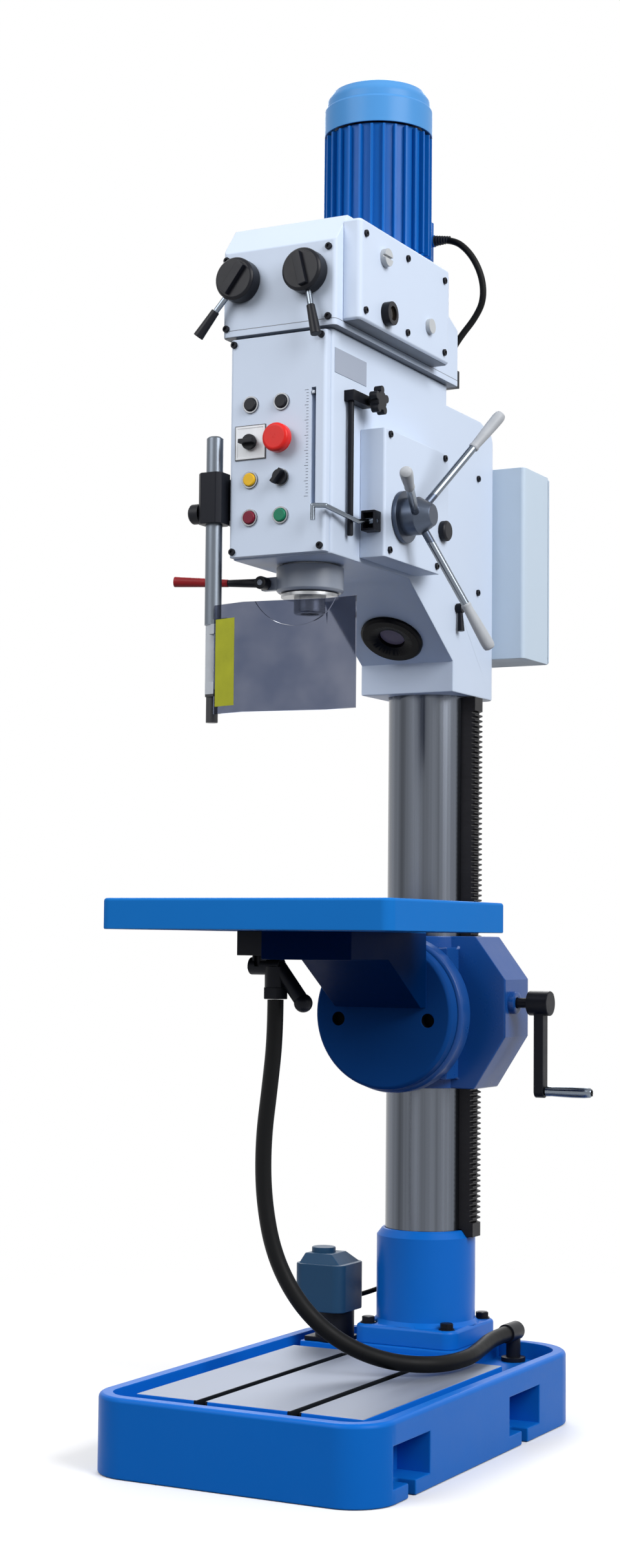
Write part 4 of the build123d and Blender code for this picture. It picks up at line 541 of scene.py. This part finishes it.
def shiftFinish(name, side):
    centre = (shiftKnob[side], shiftKnob["front"], shiftKnob["height"])
    rod = inRing(centre, yWay, shiftKnob["rodTo"], shiftKnob["rodFrom"])
    return moulded(name, tone["black"], 0.36, layers=[
        steelLayer(rod, tone["chrome"], 0.2, (120, 120, 120), 0.1)
    ])


# Guard sheet: clear, with faint clouds
clearSheet = dict(transmission=0.94, ior=1.12, rough=0.03, dull=0.14,
                  haze=(9.0, 3.0, 0.55), cloud=(0.34, 0.66))
sheetGlass = bpy.data.materials.new("clearSheet")
sheetGlass.use_nodes = True
sheetTree = sheetGlass.node_tree
sheetInputs = sheetTree.nodes["Principled BSDF"].inputs
sheetInputs["Transmission Weight"].default_value = clearSheet["transmission"]
sheetInputs["IOR"].default_value = clearSheet["ior"]
haze = noiseNode(sheetTree, objectPlace(sheetTree), *clearSheet["haze"])
hazeRough = mathNode(sheetTree, "MULTIPLY_ADD", haze, clearSheet["dull"], clearSheet["rough"])
feed(sheetTree, sheetInputs["Roughness"], hazeRough)
clouds = rangeNode(sheetTree, haze, *clearSheet["cloud"])
sheetTint = mixColour(sheetTree, clouds, tone["sheetDark"], tone["sheetLight"])
feed(sheetTree, sheetInputs["Base Color"], sheetTint)

# CAD nodes: welded, outer edges eased, smooth within an angle; angles in degrees
easing = dict(smoothTo=32, sharpFrom=38, flatAngle=0.4, segments=2, areaWeight=100)


def edgeGroup(name, angleKind, operation, limit):  # a group that tests each edge's angle against a limit
    group = bpy.data.node_groups.new(name, "GeometryNodeTree")
    for way in ("INPUT", "OUTPUT"):
        group.interface.new_socket("Geometry", in_out=way, socket_type="NodeSocketGeometry")
    given, out = group.nodes.new("NodeGroupInput"), group.nodes.new("NodeGroupOutput")
    angle = group.nodes.new("GeometryNodeInputMeshEdgeAngle")
    test = group.nodes.new("FunctionNodeCompare")
    test.operation = operation
    test.inputs[1].default_value = math.radians(limit)
    group.links.new(angle.outputs[angleKind], test.inputs[0])
    return group, given.outputs[0], test.outputs[0], out.inputs[0]


def smoothGroup():  # faces are smooth, edges only up to the angle
    limit = easing["smoothTo"]
    group, given, small, out = edgeGroup("smoothWithinAngle", "Unsigned Angle", "LESS_EQUAL", limit)
    edges = group.nodes.new("GeometryNodeSetShadeSmooth")
    edges.domain = "EDGE"
    faces = group.nodes.new("GeometryNodeSetShadeSmooth")
    group.links.new(given, edges.inputs[0])
    group.links.new(small, edges.inputs["Shade Smooth"])
    group.links.new(edges.outputs[0], faces.inputs[0])
    group.links.new(faces.outputs[0], out)
    return group


def outerEdgeGroup():  # weights the edges that stand out, so that inside corners stay square
    limit = easing["sharpFrom"]
    group, given, convex, out = edgeGroup("outerEdges", "Signed Angle", "GREATER_THAN", limit)
    store = group.nodes.new("GeometryNodeStoreNamedAttribute")
    store.data_type = "FLOAT"
    store.domain = "EDGE"
    store.inputs["Name"].default_value = "bevel_weight_edge"
    group.links.new(given, store.inputs["Geometry"])
    group.links.new(convex, store.inputs["Value"])
    group.links.new(store.outputs[0], out)
    return group


smoothWithin = smoothGroup()
outerEdges = outerEdgeGroup()


def smoothPiece(piece):
    piece.modifiers.new("smooth", "NODES").node_group = smoothWithin
    weighted = piece.modifiers.new("weighted", "WEIGHTED_NORMAL")
    weighted.mode = "FACE_AREA"
    weighted.weight = easing["areaWeight"]
    weighted.keep_sharp = True


# nodes whose flat faces have holes that joining the facets would close
holedFaces = {
    "table_bracket", "column_foot", "feed_handle", "collar_lever", "table_crank", "table_drain", "motor_cowl",
}


def dress(name, material, ease):
    piece = nodes[name]
    piece.data.materials.clear()
    piece.data.materials.append(material)
    piece.modifiers.new("weld", "WELD").merge_threshold = joinGap["node"]
    if ease:
        if name not in holedFaces:
            flat = piece.modifiers.new("flat", "DECIMATE")
            flat.decimate_type = "DISSOLVE"
            flat.angle_limit = math.radians(easing["flatAngle"])
        piece.modifiers.new("outer", "NODES").node_group = outerEdges
        bevel = piece.modifiers.new("ease", "BEVEL")
        bevel.width = ease
        bevel.segments = easing["segments"]
        bevel.limit_method = "WEIGHT"
        bevel.use_clamp_overlap = False
        bevel.harden_normals = False
        piece.modifiers.new("seal", "WELD").merge_threshold = joinGap["node"]  # closes the bevel's slivers
    smoothPiece(piece)


# each node's finish, and how far its outer edges are eased
nodeFinish = {
    "base_casting": (baseBlue, 0.003), "column_foot": (castBlue, 0.002), "work_table": (tableBlue, 0.002),
    "table_bracket": (bracketShadeBlue, 0.003), "column_tube": (columnSteel, 0), "column_rack": (rackSteel, 0),
    "base_fittings": (blackPlastic, 0.001), "coolant_pump": (pumpPaint, 0.002),
    "head_casting": (headWhite, 0.003), "gearbox_housing": (gearboxWhite, 0.002),
    "gearbox_side_cover": (gearboxWhite, 0.0015), "control_panel": (headWhite, 0.0012),
    "feed_gearcase": (headWhite, 0.002), "electrical_cabinet": (cabinetGrey, 0.0012),
    "cabinet_door": (cabinetGrey, 0.0012), "oil_fittings": (oilLook, 0.0008),
    "control_bezels": (bezelSatin, 0.0005), "button_jog_left": (blackPlastic, 0.0006),
    "button_jog_right": (blackPlastic, 0.0006), "selector_main": (blackPlastic, 0.0008),
    "selector_mode": (blackPlastic, 0.0008), "stop_mushroom": (redCap, 0),
    "button_coolant": (yellowCap, 0.0006), "button_off": (darkRedCap, 0.0006),
    "button_on": (greenCap, 0.0006), "motor_frame": (motorBlue, 0.001), "motor_cowl": (cowlBlue, 0.001),
    "motor_rotor": (gearSteel, 0), "layshaft_rear": (gearSteel, 0), "layshaft_front": (gearSteel, 0),
    "spindle_gear": (gearSteel, 0), "spindle": (spindleSteel, 0.0006), "quill_sleeve": (quillSteel, 0.001),
    "feed_handle": (feedSteel, 0.001), "clutch_knob": (blackPlastic, 0.001),
    "stop_bracket": (blackOxide, 0.0015), "star_knob": (blackPlastic, 0.0012), "depth_rod": (blackOxide, 0),
    "trip_lever": (chrome, 0), "clamp_lever": (blackOxide, 0.0008), "collar_lever": (collarPaint, 0.001),
    "guard_clamp": (blackOxide, 0.0015), "guard_knob": (blackPlastic, 0.001),
    "guard_post": (postSteel, 0.0006), "guard_screen": (sheetGlass, 0), "work_lamp": (lampLook, 0.0008),
    "elevating_pinion": (gearSteel, 0), "table_crank": (blackOxide, 0.0015),
    "table_drain": (blackOxide, 0.0012), "table_lock": (blackOxide, 0.001),
    "shift_lever_left": (shiftFinish("shiftLeft", "left"), 0.0012),
    "shift_lever_right": (shiftFinish("shiftRight", "right"), 0.0012),
}
for name, (material, ease) in nodeFinish.items():
    dress(name, material, ease)
print("CAD nodes dressed:", len(nodeFinish))


def addPiece(piece, material, body, slot, *stoodFor):
    piece.data.materials.append(material)
    smoothPiece(piece)
    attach(piece, body)
    if stoodFor:
        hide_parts(*stoodFor)
    return piece


# Drain hose: one route from the table down past the carriage and rack to the base, cut into three lengths
hose = dict(
    radius=0.014, splitHigh=0.560, splitLow=0.1625,
    route=[
        (-0.100, -0.400, 0.753), (-0.100, -0.400, 0.690), (-0.108, -0.401, 0.610), (-0.121, -0.401, 0.510),
        (-0.120, -0.398, 0.410), (-0.100, -0.394, 0.315), (-0.055, -0.383, 0.235), (0.008, -0.362, 0.178),
        (0.080, -0.330, 0.147), (0.148, -0.280, 0.139), (0.168, -0.190, 0.139), (0.158, -0.110, 0.143),
        (0.150, -0.045, 0.150), (0.150, 0.020, 0.150),
    ],
)
hoseLine = splineLine(hose["route"])
cutHigh = int(np.argmin(np.abs(hoseLine[:, 2] - hose["splitHigh"])))
cutLow = int(np.argmax(hoseLine[:, 2] < hose["splitLow"]))
hoseParts = [
    ("hoseUpper", hoseLine[: cutHigh + 1], "hose_upper", "table", "carriage", "hanging"),
    ("hoseMiddle", hoseLine[cutHigh : cutLow + 1], "hose_middle", "carriage", "swing", "hanging"),
    ("hoseLower", hoseLine[cutLow:], "hose_lower", "swing", "frame", "loose"),
]
for name, line, node, bodyA, bodyB, lay in hoseParts:
    piece = gridPiece(name, [tubeGrid(line, hose["radius"])])
    piece.data.materials.append(hoseRubber)
    smoothPiece(piece)
    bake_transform(piece)
    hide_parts(node)
    print(name, "length", round(pathLength(line), 3))

# Motor and pump cables, with a ribbed sleeve at each end
cables = {
    "motorCable": dict(node="motor_cable", radius=0.006, relief=0.030, route=[
        (0.059, -0.113, 2.133), (0.094, -0.113, 2.133), (0.128, -0.109, 2.104), (0.148, -0.101, 2.060),
        (0.148, -0.093, 2.018), (0.128, -0.086, 1.988), (0.101, -0.092, 1.955), (0.084, -0.098, 1.925),
        (0.084, -0.098, 1.893),
    ]),
    "pumpCable": dict(node="pump_cable", radius=0.0045, relief=0.024, route=[
        (-0.170, 0.010, 0.190), (-0.170, 0.040, 0.190), (-0.150, 0.064, 0.196), (-0.116, 0.070, 0.210),
        (-0.082, 0.070, 0.210),
    ]),
}
cableSleeve = dict(rows=13, wall=0.0042, taper=0.0036, rib=0.0009)


def reliefShape(radius, tall):  # narrows steadily to the cable, with every other row drawn in by a rib
    rise = np.linspace(0, tall, cableSleeve["rows"])
    ribs = cableSleeve["rib"] * (np.arange(cableSleeve["rows"]) % 2)
    wide = radius + cableSleeve["wall"] - cableSleeve["taper"] * rise / tall - ribs
    return np.column_stack([np.concatenate([[0], wide, [0]]), np.concatenate([[0], rise, [tall]])])


for name, cable in cables.items():
    line = splineLine(cable["route"])
    piece = gridPiece(name, [tubeGrid(line, cable["radius"], sides=20)])
    shape = reliefShape(cable["radius"], cable["relief"])
    sleeves = [turned(line[end], line[near] - line[end], shape, steps=24) for end, near in ((0, 3), (-1, -4))]
    reliefs = addPiece(gridPiece(name + "Reliefs", sleeves), blackPlastic, "frame", "hose_rubber")
    addPiece(piece, hoseRubber, "frame", "hose_rubber", cable["node"])
    print(name, "length", round(pathLength(line), 3))

# Socket-head and hex screws: turned heads with a six-sided recess or outline
screwHead = dict(radius=0.0058, height=0.0042, ease=0.0007, socket=0.0027, depth=0.0026, steps=30)
hexHead = dict(flat=0.0112, height=0.012, washer=0.0142, washerThick=0.0022, ease=0.0012, steps=30)


def socketScrew(place, axis):  # up the recess, over the rim and down the side
    radius, top, socket, ease = (screwHead[k] for k in ("radius", "height", "socket", "ease"))
    floorAt = top - screwHead["depth"]
    profile = [(0, floorAt), (socket, floorAt), (socket, top), (radius - ease, top), (radius, top - ease),
               (radius, 0), (0, 0)]
    return turned(place, axis, profile, screwHead["steps"], hexRows=(1, 2))


def hexScrew(place, axis):  # out over the washer, then up the six-sided head
    flat, top, washer, ease = (hexHead[k] for k in ("flat", "height", "washer", "ease"))
    seat = hexHead["washerThick"]
    profile = [(0, 0), (washer, 0), (washer, seat), (flat, seat), (flat, top - ease), (flat - ease, top),
               (0, top)]
    return turned(place, axis, profile, hexHead["steps"], hexRows=(3, 4))


# each screw's distance from the edges of what it holds
screwInset = dict(
    cover=dict(front=0.016, rear=0.026, top=0.024, bottom=0.018),
    gearbox=dict(left=0.008, right=0.014, upper=0.131, bottom=0.015),
    panel=dict(left=0.007, right=0.009, end=0.009),
    case=dict(front=0.017, rearTop=0.020, rearBottom=0.052, top=0.009, bottom=0.013),
)
headScrew = dict(y=0.008, heights=(1.499, 1.712))
footBolt = dict(spread=0.078, height=0.165)
coverLow, coverHigh = boxOf("gearbox_side_cover")
gearLow, gearHigh = boxOf("gearbox_housing")
panelLow, panelHigh = boxOf("control_panel")
caseLow, caseHigh = boxOf("feed_gearcase")
headSide = boxOf("head_casting")[1][0]
screwPlaces = []
gap = screwInset["cover"]
for y in (coverLow[1] + gap["front"], (coverLow[1] + coverHigh[1]) / 2, coverHigh[1] - gap["rear"]):
    for z in (coverHigh[2] - gap["top"], coverLow[2] + gap["bottom"]):
        screwPlaces.append(((coverHigh[0], y, z), xWay))
gap = screwInset["gearbox"]
for x in (gearLow[0] + gap["left"], gearHigh[0] - gap["right"]):
    for z in (gearLow[2] + gap["upper"], gearLow[2] + gap["bottom"]):
        screwPlaces.append(((x, gearLow[1], z), frontWay))
gap = screwInset["panel"]
for x in (panelLow[0] + gap["left"], panelHigh[0] - gap["right"]):
    for z in (panelLow[2] + gap["end"], panelHigh[2] - gap["end"]):
        screwPlaces.append(((x, panelLow[1], z), frontWay))
gap = screwInset["case"]
for y in (caseLow[1] + gap["front"], caseHigh[1] - gap["rearTop"]):
    screwPlaces.append(((caseHigh[0], y, caseHigh[2] - gap["top"]), xWay))
for y in (caseLow[1] + gap["front"], caseHigh[1] - gap["rearBottom"]):
    screwPlaces.append(((caseHigh[0], y, caseLow[2] + gap["bottom"]), xWay))
for z in headScrew["heights"]:
    screwPlaces.append(((headSide, headScrew["y"], z), xWay))
spread = (-footBolt["spread"], footBolt["spread"])
boltPlaces = [((x, y, footBolt["height"]), upWay) for x in spread for y in spread]
screwGrids = [socketScrew(*spot) for spot in screwPlaces] + [hexScrew(*spot) for spot in boltPlaces]
addPiece(gridPiece("capScrews", screwGrids), blackOxide, "frame", "black_metal", "machine_screws")
print("screws set:", len(screwGrids))

# Feed grips: turned handles on the three raked arms, as (radius, height)
feedArms = dict(hub=(0.166, -0.410, 1.567), count=3, length=0.257, grip=0.088, rake=21.5, turn=54.1)
gripShape = [
    (0, 0), (0.0078, 0), (0.0088, 0.002), (0.0088, 0.005), (0.0080, 0.007), (0.0086, 0.020), (0.0096, 0.040),
    (0.0104, 0.060), (0.0108, 0.074), (0.0104, 0.081), (0.0088, 0.0855), (0.0056, 0.0876), (0, 0.088),
]
rake = math.radians(feedArms["rake"])
gripGrids = []
for k in range(feedArms["count"]):
    armTurn = math.radians(feedArms["turn"] + 360 / feedArms["count"] * k)
    way = np.array((math.sin(rake), math.cos(rake) * math.cos(armTurn), math.cos(rake) * math.sin(armTurn)))
    start = np.array(feedArms["hub"]) + way * (feedArms["length"] - feedArms["grip"])
    gripGrids.append(turned(start, way, gripShape))
addPiece(gridPiece("feedGripSet", gripGrids), gripGrey, "feed", "grip_plastic", "feed_grips")

# Crank grip: a turned handle that spins on its pin, as (radius, height)
crankLow, crankHigh = boxOf("crank_handle")
crankEnd = (crankLow[0], (crankLow[1] + crankHigh[1]) / 2, (crankLow[2] + crankHigh[2]) / 2)
gripLong = crankHigh[0] - crankLow[0]
crankShape = [
    (0.0052, 0), (0.0078, 0), (0.0092, 0.002), (0.0086, 0.012), (0.0092, 0.3 * gripLong),
    (0.0099, 0.6 * gripLong), (0.0096, 0.85 * gripLong), (0.0084, gripLong - 0.003), (0.0062, gripLong),
    (0.0052, gripLong), (0.0052, 0),
]
crankGrip = gridPiece("crankGripTurned", [turned(crankEnd, xWay, crankShape)])
addPiece(crankGrip, chrome, "crank_grip", "chrome", "crank_handle")

# Plain thin plate on the side of the head
sidePlate = dict(front=-0.572, rear=-0.457, low=1.785, high=1.826, thick=0.0008)
plateGrid = boxGrid((headSide, sidePlate["front"], sidePlate["low"]),
                    (headSide + sidePlate["thick"], sidePlate["rear"], sidePlate["high"]))
plateGrey = enamel("plateGrey", tone["plateGrey"], 0.44)
addPiece(gridPiece("sidePlate", [plateGrid]), plateGrey, "frame", "steel")

# Guard strip: a thin band laid along the slanted left wing of the screen
guardBand = dict(left=-0.098, right=-0.056, low=1.236, high=1.380, thick=0.0006)
guardWing = dict(left=-0.102, front=-0.620, slope=18 / 65)
band = boxGrid((guardBand["left"], -guardBand["thick"], guardBand["low"]),
               (guardBand["right"], 0, guardBand["high"]))
band[..., 1] += guardWing["front"] - (band[..., 0] - guardWing["left"]) * guardWing["slope"]
stripYellow = moulded("stripYellow", tone["stripYellow"], 0.4)
addPiece(gridPiece("guardStrip", [band]), stripYellow, "guard", "yellow_plastic")

# Guard insert: a clear window in the round notch of the screen, following the screen's fold
guardInsert = dict(centre=0.053, high=1.404, rise=0.038, radius=0.0797, thick=0.004, count=41)
guardFold = dict(x=(-0.037, 0.107, 0.164), y=(-0.638, -0.618, -0.629))
notchHalf = math.sqrt(guardInsert["radius"] ** 2 - guardInsert["rise"] ** 2)
offset = notchHalf * np.linspace(-1, 1, guardInsert["count"])
notchX = guardInsert["centre"] + offset
notchFront = np.interp(notchX, guardFold["x"], guardFold["y"])
notchRear = notchFront + guardInsert["thick"]
notchTop = np.full_like(notchX, guardInsert["high"])
notchFoot = notchTop - (np.sqrt(guardInsert["radius"] ** 2 - offset**2) - guardInsert["rise"])
notchRing = [(notchFront, notchFoot), (notchFront, notchTop), (notchRear, notchTop), (notchRear, notchFoot)]
insert = np.stack([np.column_stack([notchX, y, z]) for y, z in notchRing], 1)
addPiece(gridPiece("guardInsert", [insert]), sheetGlass, "guard", "clear_sheet")

# Depth scale: fine raised ticks beside the pointer slot, every fifth one longer
scaleMarks = dict(x=0.058, low=1.578, high=1.754, count=36, every=5, short=0.004, long=0.007,
                  thick=0.0005, proud=0.0003)
marks = []
for k, z in enumerate(np.linspace(scaleMarks["low"], scaleMarks["high"], scaleMarks["count"])):
    tick = scaleMarks["long"] if k % scaleMarks["every"] == 0 else scaleMarks["short"]
    half = scaleMarks["thick"] / 2
    marks.append(boxGrid((scaleMarks["x"] - tick, panelLow[1] - scaleMarks["proud"], z - half),
                         (scaleMarks["x"], panelLow[1], z + half)))
addPiece(gridPiece("scaleTicks", marks), blackPlastic, "frame", "black_plastic")
print("small pieces made")

# Camera where the picture was taken; angles in radians
view = dict(azimuth=0.437740, distance=4.338918, height=0.850758, yaw=0.488554, pitch=0.0676573,
            roll=0.00943876, focal=3623.597, imageHeight=2426, sensor=36.0, clipEnd=60)
sinYaw, cosYaw = math.sin(view["yaw"]), math.cos(view["yaw"])
sinPitch, cosPitch = math.sin(view["pitch"]), math.cos(view["pitch"])
sinRoll, cosRoll = math.sin(view["roll"]), math.cos(view["roll"])
eye = Vector((view["distance"] * math.sin(view["azimuth"]), -view["distance"] * math.cos(view["azimuth"]),
              view["height"]))
ahead = Vector((-sinYaw * cosPitch, cosYaw * cosPitch, sinPitch))
level = Vector((cosYaw, sinYaw, 0))
overhead = level.cross(ahead)
across = level * cosRoll + overhead * sinRoll
upward = overhead * cosRoll - level * sinRoll
lens = bpy.data.cameras.new("pictureCamera")
lens.sensor_fit = "VERTICAL"
lens.sensor_height = view["sensor"]
lens.lens = view["sensor"] * view["focal"] / view["imageHeight"]
lens.clip_end = view["clipEnd"]
camera = bpy.data.objects.new("pictureCamera", lens)
turn = Matrix((across, upward, -ahead)).transposed()
camera.matrix_world = Matrix.Translation(eye) @ turn.to_4x4()
scene.collection.objects.link(camera)
scene.camera = camera


def seenDirectly(tree):  # one for a ray from the camera, a shine or a clear sheet
    rays = addNode(tree, "ShaderNodeLightPath").outputs
    shineOrClear = mathNode(tree, "MAXIMUM", rays["Is Glossy Ray"], rays["Is Transmission Ray"])
    return mathNode(tree, "MAXIMUM", rays["Is Camera Ray"], shineOrClear)


# Pale floor that fades into the white surround; it throws little light back on the machine
floorLook = dict(reach=14.0, drop=0.0005, fadeFrom=0.75, fadeTo=1.9, rough=0.8, dim=0.06, pale=0.97)
reach = floorLook["reach"]
corners = [(-reach, -reach), (reach, -reach), (reach, reach), (-reach, reach)]
floorMesh = bpy.data.meshes.new("floor")
floorMesh.from_pydata([(x, y, -floorLook["drop"]) for x, y in corners], [], [(0, 1, 2, 3)])
floor = bpy.data.objects.new("floor", floorMesh)
scene.collection.objects.link(floor)
paleFloor = bpy.data.materials.new("paleFloor")
paleFloor.use_nodes = True
floorTree = paleFloor.node_tree
floorShader = floorTree.nodes["Principled BSDF"]
floorShader.inputs["Roughness"].default_value = floorLook["rough"]
floorSeen = seenDirectly(floorTree)
dimGrey, paleGrey = ((*[floorLook[k]] * 3, 1) for k in ("dim", "pale"))
feed(floorTree, floorShader.inputs["Base Color"], mixColour(floorTree, floorSeen, dimGrey, paleGrey))
glow = addNode(floorTree, "ShaderNodeEmission", [("Color", (1, 1, 1, 1)), ("Strength", 1.0)])
fromMiddle = vectorNode(floorTree, "LENGTH", objectPlace(floorTree))
fade = rangeNode(floorTree, fromMiddle, floorLook["fadeFrom"], floorLook["fadeTo"],
                 interpolation_type="SMOOTHSTEP")
whiteShare = mathNode(floorTree, "MULTIPLY", fade, floorSeen)
floorMix = [(0, whiteShare), (1, floorShader.outputs[0]), (2, glow.outputs[0])]
floorBlend = addNode(floorTree, "ShaderNodeMixShader", floorMix)
feed(floorTree, floorTree.nodes["Material Output"].inputs["Surface"], floorBlend.outputs[0])
floorMesh.materials.append(paleFloor)

# Surround: bright overhead, dimmer towards the horizon and below; plain white where it is seen
surround = dict(below=0.03, level=0.20, overhead=0.62, topAt=0.9, bottomAt=-0.5)
world = bpy.data.worlds.new("studio")
scene.world = world
world.use_nodes = True
skyTree = world.node_tree
sky = skyTree.nodes["Background"]
sky.inputs["Color"].default_value = (1, 1, 1, 1)
heading = addNode(skyTree, "ShaderNodeTexCoord").outputs["Generated"]
skyHeight = addNode(skyTree, "ShaderNodeSeparateXYZ", [(0, heading)]).outputs[2]
upper = rangeNode(skyTree, skyHeight, 0.0, surround["topAt"], surround["level"], surround["overhead"])
lower = rangeNode(skyTree, skyHeight, surround["bottomAt"], 0.0, surround["below"] - surround["level"], 0.0)
dome = mathNode(skyTree, "ADD", upper, lower)
feed(skyTree, sky.inputs["Strength"], mixValue(skyTree, seenDirectly(skyTree), dome, 1.0))

# Soft lamps
lamps = {
    "keyLamp": dict(place=(-1.6, -4.2, 4.0), aim=(0, -0.3, 1.2), size=3.0, power=124),
    "fillLamp": dict(place=(4.2, -1.6, 3.8), aim=(0, -0.2, 1.2), size=3.0, power=238),
    "backLamp": dict(place=(-2.2, 3.8, 3.6), aim=(0, 0, 1.2), size=2.6, power=105),
}
for name, lamp in lamps.items():
    light = bpy.data.lights.new(name, "AREA")
    light.size = lamp["size"]
    light.energy = lamp["power"]
    source = bpy.data.objects.new(name, light)
    source.location = lamp["place"]
    source.rotation_euler = (Vector(lamp["aim"]) - Vector(lamp["place"])).to_track_quat("-Z", "Y").to_euler()
    scene.collection.objects.link(source)
scene.view_settings.view_transform = "Standard"
print("camera, floor and lamps placed")
